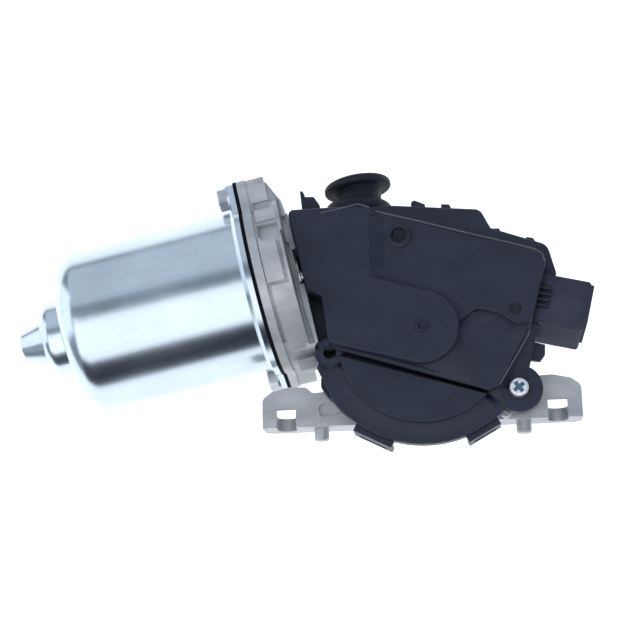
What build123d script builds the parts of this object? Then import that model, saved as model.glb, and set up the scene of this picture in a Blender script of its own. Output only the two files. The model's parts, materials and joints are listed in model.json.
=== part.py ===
from build123d import *
import os
from math import cos, degrees, pi, radians, sin, sqrt, tan

# Windscreen wiper motor: a brushed motor in a drawn steel can drives an output shaft
# through a worm and a moulded wheel, in a die-cast housing closed by a moulded cover.
# Origin on the output shaft's axis where its threaded end begins; +Z points to the cover.
# Millimetres throughout.

# Gear pair
tooth_module = 1.0
wheel_teeth = 59
worm_pitch_radius = 5.0
tooth_addendum = 1.0
tooth_root_gap = 0.25
flank_clearance = 0.14
pressure_angle = 20.0
wheel_face_width = 10.0
wheel_rim_wall = 4.2
wheel_web_thickness = 3.6
wheel_rib_count = 12
wheel_rib_width = 1.6
worm_length = 24.0

# Motor axis
motor_axis_height = 30.0
motor_tilt = 12.0

# Motor can
can_radius = 31.0
can_wall = 2.2
can_end = -127.2
can_shoulder_radius = 9.0
boss_radius = 14.6
boss_depth = 10.1
nose_base_radius = 9.2
nose_tip_radius = 5.8
nose_length = 9.7
flange_lip = 2.6
flange_thickness = 2.0
flange_bend = 1.6
gasket_thickness = 1.4
motor_face = -52.8
ear_bolt_offset = 5.2
ear_bolt_angle = 32.0
ear_radius = 5.2

# Can bolts
bolt_radius = 2.5
bolt_head_flats = 8.0
bolt_head_height = 3.6
bolt_washer_radius = 4.9
bolt_washer_thickness = 1.0
bolt_thread_depth = 7.0
bolt_hole_clearance = 0.3

# Field magnets
magnet_clearance = 0.05
magnet_thickness = 6.0
magnet_sweep = 124.0
magnet_length = 46.0
magnet_lead = 6.0
clip_thickness = 0.8
clip_sweep = 44.0
clip_length = 30.0

# Armature
armature_shaft_radius = 4.0
core_air = 0.85
core_length = 38.0
slot_count = 10
slot_radius = 3.6
slot_depth = 6.3
slot_mouth = 1.8
wire_clearance = 0.5
insulator_thickness = 0.8
end_turn_length = 7.2
end_turn_step = 1.5
end_turn_inner = 7.0
end_turn_gap = 0.4
commutator_radius = 10.5
commutator_lead = 2.2
commutator_length = 11.4
commutator_riser = 1.6
bar_count = 10
bar_gap = 0.6

# Brushes
brush_width = 6.0
brush_height = 5.0
brush_length = 9.0
brush_air = 0.06
brush_slot_clearance = 0.2
brush_tube_wall = 0.6
brush_tube_stand = 2.1
brush_tube_margin = 2.2
brush_setback = 5.4
low_speed_angle = 90.0
common_angle = 270.0
high_speed_angle = 25.0
spring_wire = 0.5
spring_radius = 1.9
spring_turns = 3.5
brush_plate_lead = 3.6
brush_plate_thickness = 2.6
brush_plate_clearance = 0.2

# Bearings of the armature
ball_bearing_radius = 11.0
ball_bearing_width = 7.0
ball_bearing_lead = 1.6
ball_count = 7
ball_radius = 1.95
ball_clearance = 0.05
race_land = 1.7
rear_bush_radius = 9.0
rear_bush_length = 8.0
rear_bush_depth = 3.8
shaft_running_fit = 0.03
thrust_ball_radius = 2.5
end_bush_radius = 4.6
end_bush_length = 7.0
end_bush_start = 16.0
end_journal_radius = 3.0
thrust_pad_thickness = 1.5

# Gear housing
wheel_floor_gap = 4.0
floor_thickness = 3.5
housing_wall = 3.2
joint_rise = 1.0
wheel_side_gap = 1.6
tube_step = 1.2
tube_bore_step = 0.2
tube_length = 12.8
web_thickness = 4.0
bearing_boss_wall = 3.0
rim_wall_rise = 9.0
rim_wall_thickness = 2.6
rim_wall_low = -31.0
rim_wall_high = 21.0
channel_wall = 2.4
worm_clearance = 1.2
channel_end = 26.0
end_boss_wall = 2.6
trench_rise = 2.0
case_right = 16.0
case_split = 16.0
case_inset = 0.4
pad_lead = 3.6
pad_width = 6.4
pad_low = -8.0
pad_high = 8.4
pad_rise = 1.0

# Output shaft and its boss
shaft_radius = 6.0
taper_gap = 2.0
output_boss_radius = 13.0
output_boss_top_radius = 16.5
bush_wall = 2.0
bush_length = 4.4
hub_gap = 2.0
thrust_washer_thickness = 1.0
thread_radius = 4.0
thread_length = 9.0
thread_chamfer = 0.6
taper_length = 8.0
taper_small_radius = 4.5
taper_large_radius = 5.2
serration_count = 36
serration_depth = 0.45
ring_thickness = 0.8
ring_groove_depth = 0.6
outer_washer_thickness = 0.6
outer_washer_radius = 9.5
seal_section_radius = 1.2
seal_gap = 0.05
hub_radius = 8.6
hub_height = 12.0
shaft_reach = 2.4

# Mounting feet, with the slots open to the front and the bolts along Y
foot_face = -31.3
foot_rise = 1.0
foot_depth = 12.0
foot_web = 2.6
foot_flange = 4.8
foot_slot_width = 7.2
foot_slot_depth = 8.6
foot_window_top = -24.4
left_foot_slot = -51.4
right_foot_slot = 47.4
left_foot_edge = -60.1
right_foot_edge = 56.2
left_foot_top = -16.3
right_foot_top = -15.5
pin_radius = 2.75
pin_length = 4.5
pin_drop = 5.5
left_pin = -38.8
right_pin = 35.1

# Rubber cushion on its post, the third point of support
cushion_x = -22.5
cushion_drop = 7.5
cushion_disc_radius = 12.7
cushion_disc_thickness = 3.2
cushion_top = 62.2
cushion_neck_radius = 8.0
cushion_foot_radius = 9.6
cushion_foot_thickness = 3.0
cushion_base = 49.0
sleeve_radius = 5.4
post_radius = 4.2
post_root_radius = 7.2
sleeve_gap = 0.1
post_top = 60.0

# Cover
cover_wall = 2.0
rim_rise = 5.5
crescent_rise = 9.0
pocket_rise = 9.4
circuit_rise = 11.6
plateau_rise = 14.0
cover_overhang = 5.7
tongue_radius = 13.4
tongue_slope = -16.0
crescent_radius = 30.5
crescent_centre_y = -3.3
groove_slope = -17.4
groove_offset = 16.6
cover_corner = 3.0
seal_thickness = 0.8
cover_edge_gap = 0.4
cover_screw_x = 33.4
cover_screw_y = -22.2
cover_ear_radius = 8.6
blind_boss_x = -33.6
blind_boss_y = -6.8
blind_boss_radius = 5.4
blind_hole_radius = 2.3
ring_boss_x = -7.0
ring_boss_y = 34.8
ring_boss_radius = 4.4
ring_boss_hole = 2.7
dimple_x = 33.6
dimple_y = 5.6
dimple_radius = 2.1

# Cover screw
screw_radius = 2.0
screw_head_radius = 3.5
screw_head_height = 2.4
screw_length = 12.0
screw_hole_clearance = 0.25

# Terminal base and connector
base_depth = 16.0
base_wall = 2.0
base_gap = 0.3
base_lowest = -3.0
connector_angle = -14.0
connector_start_x = 43.2
connector_start_y = 11.4
connector_reach = 18.0
connector_width = 14.4
connector_drop = 25.0
connector_rise = 6.4
connector_wall = 1.8
connector_floor = 3.0
connector_rib_count = 4
connector_grip = 8.0
terminal_count = 5
terminal_pitch = 5.0
terminal_width = 2.3
terminal_thickness = 0.8
terminal_length = 9.0

# Park switch
cam_plate_thickness = 0.6
cam_plate_outer = 24.0
cam_plate_inner = 12.0
cam_plate_drop = 0.2
park_notch_angle = 38.0
finger_width = 2.4
finger_root = 14.0
finger_tip = 0.0
finger_thickness = 0.5
finger_radii = (14.0, 18.0, 22.0)
finger_air = 0.05
carrier_rise = 4.0
carrier_thickness = 1.8
breaker_length = 12.0
breaker_width = 7.0
breaker_height = 3.4

# Values that follow from those above
wheel_pitch_radius = tooth_module * wheel_teeth / 2
centre_distance = wheel_pitch_radius + worm_pitch_radius
wheel_tip_radius = wheel_pitch_radius + tooth_addendum
wheel_root_radius = wheel_pitch_radius - tooth_addendum - tooth_root_gap
worm_tip_radius = worm_pitch_radius + tooth_addendum
worm_root_radius = worm_pitch_radius - tooth_addendum - tooth_root_gap
worm_lead = pi * tooth_module
wheel_low = motor_axis_height - wheel_face_width / 2
wheel_top = motor_axis_height + wheel_face_width / 2
helix_turn = degrees(worm_lead / (2 * pi * worm_pitch_radius) / wheel_pitch_radius)
cavity_radius = wheel_tip_radius + wheel_side_gap
case_radius = cavity_radius + housing_wall
cavity_floor = wheel_low - wheel_floor_gap
housing_bottom = cavity_floor - floor_thickness
inner_boss_top = wheel_low - hub_gap
joint_height = wheel_top + joint_rise
shaft_top = wheel_top + shaft_reach
boss_face = taper_length + taper_gap
boss_end = can_end - boss_depth
nose_tip = boss_end - nose_length
flange_radius = can_radius + flange_lip
ear_bolt_circle = can_radius + ear_bolt_offset
flange_front = motor_face - gasket_thickness
can_bore = can_radius - can_wall
tube_radius = flange_radius - tube_step
tube_bore = can_bore - tube_bore_step
tube_end = motor_face + tube_length
ball_bearing_front = tube_end + ball_bearing_lead
rear_bush_centre = can_end - rear_bush_depth
magnet_radius = can_bore - magnet_clearance
magnet_bore = magnet_radius - magnet_thickness
commutator_front = motor_face + commutator_lead
commutator_rear = commutator_front - commutator_length
brush_centre = commutator_front - brush_setback
brush_tube_start = commutator_radius + brush_tube_stand
brush_tube_end = tube_bore - brush_tube_margin
brush_plate_front = commutator_front + brush_plate_lead
end_turn_front = commutator_rear - commutator_riser - end_turn_gap
core_front = end_turn_front - end_turn_length - insulator_thickness
core_rear = core_front - core_length
core_radius = magnet_bore - core_air
slot_circle = core_radius - slot_depth
end_turn_outer = core_radius - end_turn_step
magnet_end = core_front + magnet_lead
rim_wall_edge = tube_end + rim_wall_thickness
rim_wall_height = joint_height + rim_wall_rise
channel_radius = worm_tip_radius + worm_clearance
channel_outer = channel_radius + channel_wall
ball_pitch_radius = (ball_bearing_radius + armature_shaft_radius) / 2
hub_bottom = inner_boss_top + thrust_washer_thickness
cam_plate_top = wheel_top - cam_plate_drop
bush_radius = shaft_radius + bush_wall
foot_front = motor_axis_height + foot_rise
pin_height = foot_front - pin_drop
cushion_height = joint_height - cushion_drop
base_floor = joint_height - base_depth
connector_low = joint_height - connector_drop
connector_high = joint_height + connector_rise
carrier_height = joint_height + carrier_rise
cover_arc_radius = case_radius + cover_overhang
cover_edge = rim_wall_edge + cover_edge_gap
rim_level = joint_height + rim_rise
crescent_level = joint_height + crescent_rise
pocket_level = joint_height + pocket_rise
circuit_level = joint_height + circuit_rise
plateau_level = joint_height + plateau_rise
along = Vector(cos(radians(motor_tilt)), sin(radians(motor_tilt)), 0)
across = Vector(-sin(radians(motor_tilt)), cos(radians(motor_tilt)), 0)
motor_plane = Plane(
    origin=across * centre_distance + Vector(0, 0, motor_axis_height), x_dir=across, z_dir=along
)


def rod(radius, low, high):
    return Pos(0, 0, low) * extrude(Circle(radius), high - low)


def tube(outer, inner, low, high):
    return Pos(0, 0, low) * extrude(Circle(outer) - Circle(inner), high - low)


def turned(points, radii=0):
    """A body turned about Z from its half outline of (radius, height) points."""
    outline = FilletPolyline(*points, radius=radii, close=True)
    return revolve(Plane.XZ * make_face(outline), Axis.Z)


def slab(sketch, low, high):
    return Pos(0, 0, low) * extrude(sketch, high - low)


def polygon(points, radii=0):
    return make_face(FilletPolyline(*points, radius=radii, close=True))


def plan_point(s, m):
    """Plan place of a point s along the motor axis and m to its upper side."""
    place = along * s + across * (centre_distance + m)
    return (place.X, place.Y)


def ear_places():
    angle = radians(ear_bolt_angle)
    x, y = ear_bolt_circle * cos(angle), ear_bolt_circle * sin(angle)
    return [(x, y), (-x, -y)]


def flange_sketch(radius):
    """Round flange with two opposite bolt ears, in the motor's cross plane."""
    outline = Circle(radius)
    for place in ear_places():
        ear = Pos(*place) * Circle(ear_radius)
        outline += make_hull(ear.edges() + Circle(radius * 0.8).edges())
    return outline


def ear_holes(radius):
    return [Pos(*place) * Circle(radius) for place in ear_places()]


# Motor


def can_outline(inset):
    """Half outline of the can's cup, outside at inset 0 and inside at the wall's thickness."""
    base = can_end + inset
    step = boss_end + inset
    tip = nose_tip + inset
    points = [
        (0, tip),
        (nose_tip_radius - inset, tip),
        (nose_base_radius - inset, step),
        (boss_radius - inset, step),
        (boss_radius - inset, base),
        (can_radius - inset, base),
        (can_radius - inset, flange_front),
        (0, flange_front),
    ]
    outer = [0, 1.6, 1.2, 4.2, 2.0, can_shoulder_radius, 0, 0]
    inner = [0, 0.6, 2.4, 2.0, 3.6, can_shoulder_radius - can_wall, 0, 0]
    return points, inner if inset else outer


def motor_can():
    cup = turned(*can_outline(0))
    collar = turned(
        [
            (can_radius - 1, flange_front - flange_thickness - flange_bend),
            (can_radius, flange_front - flange_thickness - flange_bend),
            (can_radius + flange_bend, flange_front - flange_thickness),
            (can_radius - 1, flange_front - flange_thickness),
        ]
    )
    plate = flange_sketch(flange_radius) - ear_holes(bolt_radius + bolt_hole_clearance)
    seat = flange_front - flange_thickness
    for place in ear_places():
        collar -= Pos(*place) * rod(bolt_washer_radius + 0.2, seat - 2 * flange_bend, seat)
    flange = slab(plate, seat, flange_front)
    return motor_plane * (cup + collar + flange - turned(*can_outline(can_wall)))


def can_gasket():
    ring_face = flange_sketch(flange_radius - 0.4) - Circle(tube_bore + 0.6)
    ring_face -= ear_holes(bolt_radius + bolt_hole_clearance)
    return motor_plane * slab(ring_face, flange_front, motor_face)


def can_bolt():
    """Hex flange bolt, its seat at height 0 and its shank upwards."""
    head = extrude(RegularPolygon(bolt_head_flats / 2, 6, major_radius=False), -bolt_head_height)
    head = Pos(0, 0, -bolt_washer_thickness) * chamfer(head.edges().group_by(Axis.Z)[0], 0.5)
    washer = rod(bolt_washer_radius, -bolt_washer_thickness, 0)
    grip = flange_thickness + gasket_thickness + bolt_thread_depth
    return head + washer + rod(bolt_radius, 0, grip)


def can_bolts():
    seat = flange_front - flange_thickness
    return [motor_plane * Pos(*place, seat) * can_bolt() for place in ear_places()]


def field_magnets():
    section = Pos(magnet_bore, magnet_end - magnet_length) * Rectangle(
        magnet_thickness, magnet_length, align=(Align.MIN, Align.MIN)
    )
    arc = revolve(Plane.XZ * section, Axis.Z, magnet_sweep)
    turns = [-magnet_sweep / 2, 180 - magnet_sweep / 2]
    return [motor_plane * Rot(0, 0, turn) * arc for turn in turns]


def magnet_clips():
    """Thin spring strips that press the two magnets apart against the can."""
    centre = magnet_end - magnet_length / 2
    lip = magnet_thickness - 1.2
    clips = []
    for turn in (90, 270):
        strip = revolve(
            Plane.XZ * Pos(magnet_radius - clip_thickness / 2, centre)
            * Rectangle(clip_thickness, clip_length),
            Axis.Z,
            clip_sweep,
        )
        edge = Pos(magnet_radius - lip / 2, 0, centre) * Box(lip, clip_thickness, clip_length)
        strip += Rot(0, 0, 0.8) * edge + Rot(0, 0, clip_sweep - 0.8) * edge
        clips.append(motor_plane * Rot(0, 0, turn - clip_sweep / 2) * strip)
    return clips


# Armature


def worm_thread():
    """One right-hand thread, its flanks at the pressure angle."""
    slope = tan(radians(pressure_angle))
    half_pitch = worm_lead / 4 - flank_clearance
    depth_in = tooth_addendum + tooth_root_gap + 0.2
    root_half = half_pitch + slope * depth_in
    tip_half = half_pitch - slope * tooth_addendum
    start = -worm_length / 2
    section = Plane(origin=(worm_pitch_radius, 0, start), x_dir=(1, 0, 0), z_dir=(0, -1, 0))
    profile = section * make_face(
        Polyline(
            (-depth_in, -root_half),
            (tooth_addendum, -tip_half),
            (tooth_addendum, tip_half),
            (-depth_in, root_half),
            close=True,
        )
    )
    path = Pos(0, 0, start) * Helix(pitch=worm_lead, height=worm_length, radius=worm_pitch_radius)
    return sweep(profile, path=path, is_frenet=True)


def armature_shaft():
    """Motor shaft in one piece with its worm, from the can's nose to the end bush."""
    rear = nose_tip + can_wall + thrust_pad_thickness + 2 * thrust_ball_radius
    worm_start = -worm_length / 2
    worm_end = worm_length / 2
    journal = end_bush_start - 1.0
    points = [
        (0, rear),
        (armature_shaft_radius - 0.4, rear),
        (armature_shaft_radius, rear + 0.4),
        (armature_shaft_radius, worm_start - 2),
        (worm_root_radius, worm_start - 1),
        (worm_root_radius, worm_end + 1),
        (end_journal_radius, journal),
        (end_journal_radius, end_bush_start + end_bush_length + 0.5),
        (0, end_bush_start + end_bush_length + 0.5),
    ]
    blank = turned(points)
    thread = worm_thread() & rod(worm_tip_radius, worm_start + 0.6, worm_end - 0.6)
    return motor_plane * (blank + thread)


def slot_places():
    return PolarLocations(slot_circle, slot_count)


def core_sketch(radius, opening, mouth):
    """Lamination outline: a disc with round-bottomed slots open to its rim."""
    slot = Circle(opening) + Pos(radius - slot_circle, 0) * Rectangle(radius - slot_circle, mouth)
    slot += Pos((radius - slot_circle) / 2, 0) * Rectangle(radius - slot_circle, mouth)
    return Circle(radius) - Circle(armature_shaft_radius) - slot_places() * slot


def armature_core():
    stack = core_sketch(core_radius, slot_radius, slot_mouth)
    return motor_plane * slab(stack, core_rear, core_front)


def core_insulators():
    """Moulded end discs that keep the windings off the core."""
    disc = core_sketch(core_radius - 0.6, slot_radius + 0.1, slot_mouth)
    rear = slab(disc, core_rear - insulator_thickness, core_rear)
    front = slab(disc, core_front, core_front + insulator_thickness)
    return [motor_plane * rear, motor_plane * front]


def armature_windings():
    """Enamelled copper: a rounded bundle of end turns at each end, joined through the slots."""
    rear = core_rear - insulator_thickness
    front = core_front + insulator_thickness
    bundle = [
        (end_turn_inner, 0),
        (end_turn_outer, 0),
        (end_turn_outer - 1.6, end_turn_length),
        (end_turn_inner, end_turn_length),
    ]
    ends = turned(bundle, [0, 0, 3.0, 2.0])
    bars = slot_places() * rod(slot_radius - wire_clearance, rear, front)
    coil = Pos(0, 0, front) * ends
    coil += Pos(0, 0, rear) * Rot(180, 0, 0) * ends
    for bar in bars:
        coil += bar
    return motor_plane * coil


def commutator():
    """Copper bars on a moulded sleeve, parted by narrow gaps, with risers for the wires."""
    rings = tube(commutator_radius, armature_shaft_radius + 2, commutator_rear, commutator_front)
    rings += tube(
        commutator_radius + 1.0,
        armature_shaft_radius + 2,
        commutator_rear - commutator_riser,
        commutator_rear,
    )
    span = commutator_length + commutator_riser
    middle = commutator_front - span / 2
    cut = Pos(commutator_radius, 0, middle) * Box(3.0, bar_gap, span + 1)
    for spot in PolarLocations(0, bar_count, start_angle=180 / bar_count):
        rings -= spot * cut
    return motor_plane * rings


def commutator_sleeve():
    sleeve = tube(
        armature_shaft_radius + 2,
        armature_shaft_radius,
        commutator_rear - commutator_riser,
        commutator_front + 1,
    )
    return motor_plane * sleeve


def race_groove():
    return Torus(ball_pitch_radius, ball_radius + ball_clearance)


def bearing_outer_race():
    half = ball_bearing_width / 2
    ring = tube(ball_bearing_radius, ball_pitch_radius + race_land / 2, -half, half)
    return motor_plane * Pos(0, 0, ball_bearing_front - half) * (ring - race_groove())


def bearing_inner_race():
    half = ball_bearing_width / 2
    ring = tube(ball_pitch_radius - race_land / 2, armature_shaft_radius, -half, half)
    return motor_plane * Pos(0, 0, ball_bearing_front - half) * (ring - race_groove())


def bearing_balls():
    centre = Pos(0, 0, ball_bearing_front - ball_bearing_width / 2)
    spots = PolarLocations(ball_pitch_radius, ball_count)
    return [motor_plane * centre * spot * Sphere(ball_radius) for spot in spots]


def rear_bush():
    """Self-aligning bush, a ball-shaped ring seated in the can's boss."""
    half = rear_bush_length / 2
    ball = Sphere(rear_bush_radius) & rod(rear_bush_radius, -half, half)
    ball -= rod(armature_shaft_radius + shaft_running_fit, -half, half)
    return motor_plane * Pos(0, 0, rear_bush_centre) * ball


def bush_retainer():
    """Spring plate that holds the rear bush in the boss."""
    seat_radius = sqrt(rear_bush_radius**2 - (rear_bush_length / 2) ** 2)
    edge = boss_radius - can_wall
    plate = turned(
        [
            (seat_radius + 0.2, rear_bush_length / 2 - 0.4),
            (edge - 0.1, 1.0),
            (edge - 0.1, 1.9),
            (seat_radius + 0.2, rear_bush_length / 2 + 0.5),
        ]
    )
    return motor_plane * Pos(0, 0, rear_bush_centre) * plate


def rear_seat():
    """Moulded ring in the bottom of the boss, hollowed to the ball of the rear bush."""
    low = boss_end + can_wall
    edge = boss_radius - can_wall - 0.1
    ring = turned(
        [
            (armature_shaft_radius + 1.5, low),
            (edge - 2.2, low),
            (edge, low + 2.2),
            (edge, rear_bush_centre + 0.8),
            (armature_shaft_radius + 1.5, rear_bush_centre + 0.8),
        ]
    )
    return motor_plane * (ring - Pos(0, 0, rear_bush_centre) * Sphere(rear_bush_radius + 0.02))


def thrust_pad():
    low = nose_tip + can_wall
    return motor_plane * rod(nose_tip_radius - can_wall - 0.7, low, low + thrust_pad_thickness)


def thrust_ball():
    centre = nose_tip + can_wall + thrust_pad_thickness + thrust_ball_radius
    return motor_plane * Pos(0, 0, centre) * Sphere(thrust_ball_radius)


def end_bush():
    ring = tube(
        end_bush_radius,
        end_journal_radius + shaft_running_fit,
        end_bush_start,
        end_bush_start + end_bush_length,
    )
    return motor_plane * ring


# Brush gear


def brush_gear_place(angle):
    """Local frame of one brush: X outwards from the motor axis, Z along it."""
    return motor_plane * Pos(0, 0, brush_centre) * Rot(0, 0, angle)


def brush(angle):
    start = commutator_radius + brush_air
    block = Pos(start, 0, 0) * Box(
        brush_length, brush_width, brush_height, align=(Align.MIN, Align.CENTER, Align.CENTER)
    )
    return brush_gear_place(angle) * chamfer(block.edges().group_by(Axis.X)[-1], 0.4)


def brush_spring(angle):
    """Coil spring between the back of a brush and the closed end of its tube."""
    start = commutator_radius + brush_air + brush_length
    room = brush_tube_end - brush_tube_wall - start
    height = room - spring_wire
    coil = Helix(pitch=height / spring_turns, height=height, radius=spring_radius)
    wire = Plane(origin=coil @ 0, z_dir=coil % 0) * Rectangle(spring_wire, spring_wire)
    spring = sweep(wire, path=coil, is_frenet=True)
    turn = Pos(start + spring_wire / 2, 0, 0) * Rot(0, 90, 0)
    return brush_gear_place(angle) * turn * spring


def brush_tube(angle):
    length = brush_tube_end - brush_tube_start
    bore_width = brush_width + 2 * brush_slot_clearance
    bore_height = brush_height + 2 * brush_slot_clearance
    side = (Align.MIN, Align.CENTER, Align.CENTER)
    outer = Box(
        length, bore_width + 2 * brush_tube_wall, bore_height + 2 * brush_tube_wall, align=side
    )
    inner = Box(length - brush_tube_wall, bore_width, bore_height, align=side)
    return brush_gear_place(angle) * Pos(brush_tube_start, 0, 0) * (outer - inner)


def brush_tubes():
    return [brush_tube(angle) for angle in (low_speed_angle, common_angle, high_speed_angle)]


def brush_plate():
    """Moulded disc that carries the brush tubes, with a post under each."""
    disc = Circle(tube_bore - brush_plate_clearance) - Circle(commutator_radius + 2.6)
    low = brush_plate_front - brush_plate_thickness
    plate = slab(disc, low, brush_plate_front)
    tube_low = brush_centre + brush_height / 2 + brush_slot_clearance + brush_tube_wall
    seat = (brush_tube_start + brush_tube_end) / 2 + 1.0
    for angle in (low_speed_angle, common_angle, high_speed_angle):
        post = Pos(seat, 0, 0) * Rectangle(8.0, brush_width)
        plate += slab(Rot(0, 0, angle) * post, tube_low, low)
    for angle in (150, 210, 330):
        choke_seat = Rot(0, 0, angle) * Pos(20.0, 0) * Rectangle(4.0, 11.0)
        plate += slab(choke_seat, low - 1.0, low)
    return motor_plane * plate


def suppression_chokes():
    """Ferrite rods wound with wire, in the supply leads against radio noise."""
    low = brush_plate_front - brush_plate_thickness - 1.0
    choke = Cylinder(2.5, 12.0)
    return [
        motor_plane * Pos(0, 0, low - 2.5) * Rot(0, 0, angle) * Pos(20.0, 0, 0)
        * Rot(90, 0, 0) * choke
        for angle in (150, 210, 330)
    ]


# Output side


def output_shaft():
    """Shaft with a plain stub for the nut's thread and a serrated taper for the crank arm."""
    groove_low = boss_face - outer_washer_thickness - ring_thickness
    groove_high = boss_face - outer_washer_thickness
    points = [
        (0, -thread_length),
        (thread_radius - thread_chamfer, -thread_length),
        (thread_radius, -thread_length + thread_chamfer),
        (thread_radius, 0),
        (taper_small_radius - serration_depth, 0),
        (taper_large_radius - serration_depth, taper_length),
        (shaft_radius - ring_groove_depth, groove_low),
        (shaft_radius - ring_groove_depth, groove_high),
        (shaft_radius, groove_high),
        (shaft_radius, shaft_top - 0.6),
        (shaft_radius - 0.6, shaft_top),
        (0, shaft_top),
    ]
    return turned(points) + serrations()


def serrations():
    """Fine straight teeth on the taper, as a loft of two star outlines."""

    def star(radius):
        step = 180 / serration_count
        corners = []
        for index in range(2 * serration_count):
            reach = radius - (index % 2) * serration_depth
            angle = radians(index * step)
            corners.append((reach * cos(angle), reach * sin(angle)))
        return make_face(Polyline(*corners, close=True))

    small = star(taper_small_radius)
    large = Pos(0, 0, taper_length) * star(taper_large_radius)
    return loft([small, large], ruled=True)


def wheel_section():
    """Outline of the toothed rim: straight flanks through the pitch circle."""
    slope = tan(radians(pressure_angle))
    half_pitch = worm_lead / 4 - flank_clearance
    root_half = half_pitch + slope * (wheel_pitch_radius - wheel_root_radius)
    tip_half = half_pitch - slope * (wheel_tip_radius - wheel_pitch_radius)
    corners = []
    for tooth in range(wheel_teeth):
        middle = 2 * pi * tooth / wheel_teeth + radians(90 + motor_tilt)
        for radius, half in (
            (wheel_root_radius, -root_half),
            (wheel_tip_radius, -tip_half),
            (wheel_tip_radius, tip_half),
            (wheel_root_radius, root_half),
        ):
            angle = middle + half / radius
            corners.append((radius * cos(angle), radius * sin(angle)))
    return make_face(Polyline(*corners, close=True))


def worm_wheel():
    """Moulded wheel with helical teeth, a thin ribbed web and a hub that grips its insert."""
    half_turn = helix_turn * wheel_face_width / 2
    section = wheel_section()
    low = Pos(0, 0, wheel_low) * Rot(0, 0, -half_turn) * section
    high = Pos(0, 0, wheel_top) * Rot(0, 0, half_turn) * section
    wheel = loft([low, high], ruled=True)
    rim_bore = wheel_root_radius - wheel_rim_wall
    hub_wall = hub_radius + 2.2
    web_low = motor_axis_height - wheel_web_thickness / 2
    web_high = motor_axis_height + wheel_web_thickness / 2
    wheel -= tube(rim_bore, hub_wall, wheel_low, web_low)
    wheel -= tube(rim_bore, hub_wall, web_high, wheel_top)
    rib_span = rim_bore - hub_wall + 0.6
    rib_high = cam_plate_top - cam_plate_thickness
    rib = Pos((rim_bore + hub_wall) / 2, 0) * Rectangle(rib_span, wheel_rib_width)
    for spot in PolarLocations(0, wheel_rib_count):
        wheel += slab(spot * rib, web_high, rib_high)
        wheel += slab(spot * rib, wheel_low + 1, web_low)
    return wheel - rod(hub_radius, wheel_low, wheel_top)


def wheel_hub():
    """Steel insert pressed on the shaft, flanged under the wheel."""
    top = hub_bottom + hub_height
    hub = tube(hub_radius, shaft_radius, hub_bottom, top)
    return hub + tube(hub_radius + 1.6, shaft_radius, hub_bottom, wheel_low)


def cam_plate():
    """Brass ring of the park switch on the wheel's face, with its park notch."""
    plate = Circle(cam_plate_outer) - Circle(cam_plate_inner)
    middle_radius = (finger_radii[0] + finger_radii[1]) / 2
    outer_track = (finger_radii[1] + finger_radii[2]) / 2
    notch_face = Circle(outer_track) - Circle(middle_radius)
    reach = cam_plate_outer * 2
    half = radians(park_notch_angle / 2)
    wedge = make_face(
        Polyline(
            (0, 0),
            (reach * cos(half), -reach * sin(half)),
            (reach * cos(half), reach * sin(half)),
            close=True,
        )
    )
    plate -= Rot(0, 0, 200) * (notch_face & wedge)
    return slab(plate, cam_plate_top - cam_plate_thickness, cam_plate_top)


def thrust_washer():
    return tube(bush_radius + 1.6, shaft_radius + 0.05, inner_boss_top, hub_bottom)


def output_bushes():
    lower = seal_top()
    bore = shaft_radius + shaft_running_fit
    return [
        tube(bush_radius, bore, lower, lower + bush_length),
        tube(bush_radius, bore, inner_boss_top - bush_length, inner_boss_top),
    ]


def seal_top():
    return boss_face + 2 * seal_section_radius + 0.3


def shaft_seal():
    centre = boss_face + seal_section_radius + 0.1
    major = shaft_radius + seal_gap + seal_section_radius
    return Pos(0, 0, centre) * Torus(major, seal_section_radius)


def outer_washer():
    return tube(
        outer_washer_radius, shaft_radius + 0.1, boss_face - outer_washer_thickness, boss_face
    )


def retaining_ring():
    """Open spring ring in the shaft's groove, with a gap for its tool."""
    ring_face = Circle(shaft_radius + 1.8) - Circle(shaft_radius - ring_groove_depth)
    ring_face -= Pos(shaft_radius + 1, 0) * Rectangle(5, 3)
    high = boss_face - outer_washer_thickness
    return slab(ring_face, high - ring_thickness, high)


# Gear housing


def channel_sketch(half_width, start, end):
    corners = [
        plan_point(start, -half_width),
        plan_point(end, -half_width),
        plan_point(end, half_width),
        plan_point(start, half_width),
    ]
    return make_face(Polyline(*corners, close=True))


def case_outline():
    """Plan of the cast gear case at the joint with the cover."""
    top_left = Pos(case_right - 40, case_split + 20) * Rectangle(80, 40)
    outline = offset(cover_outline(), -case_inset) & top_left
    outline += Circle(case_radius)
    outline += channel_sketch(end_bush_radius + end_boss_wall, 0, channel_end)
    left = [
        plan_point(rim_wall_edge, rim_wall_low + 4),
        plan_point(rim_wall_edge, rim_wall_high - 2),
        (0.0, 20.0),
        (-24.0, -18.0),
    ]
    outline += polygon(left)
    outline += Pos(blind_boss_x, blind_boss_y) * Circle(blind_boss_radius)
    screw_arm = Pos(cover_screw_x, cover_screw_y) * Circle(screw_head_radius + 1.6)
    outline += make_hull(screw_arm.edges() + Circle(case_radius * 0.6).edges())
    return outline


def gear_case():
    """The flat part of the casting: case walls, floor, rim wall and output boss."""
    body = slab(case_outline(), housing_bottom, joint_height)
    rim = make_face(
        Polyline(
            plan_point(tube_end - 2, rim_wall_low),
            plan_point(rim_wall_edge, rim_wall_low),
            plan_point(rim_wall_edge, rim_wall_high),
            plan_point(tube_end - 2, rim_wall_high),
            close=True,
        )
    )
    body += slab(rim, housing_bottom, rim_wall_height)
    boss = turned(
        [
            (0, boss_face),
            (output_boss_radius, boss_face),
            (output_boss_top_radius, housing_bottom),
            (0, housing_bottom),
        ]
    )
    return body + boss


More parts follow.
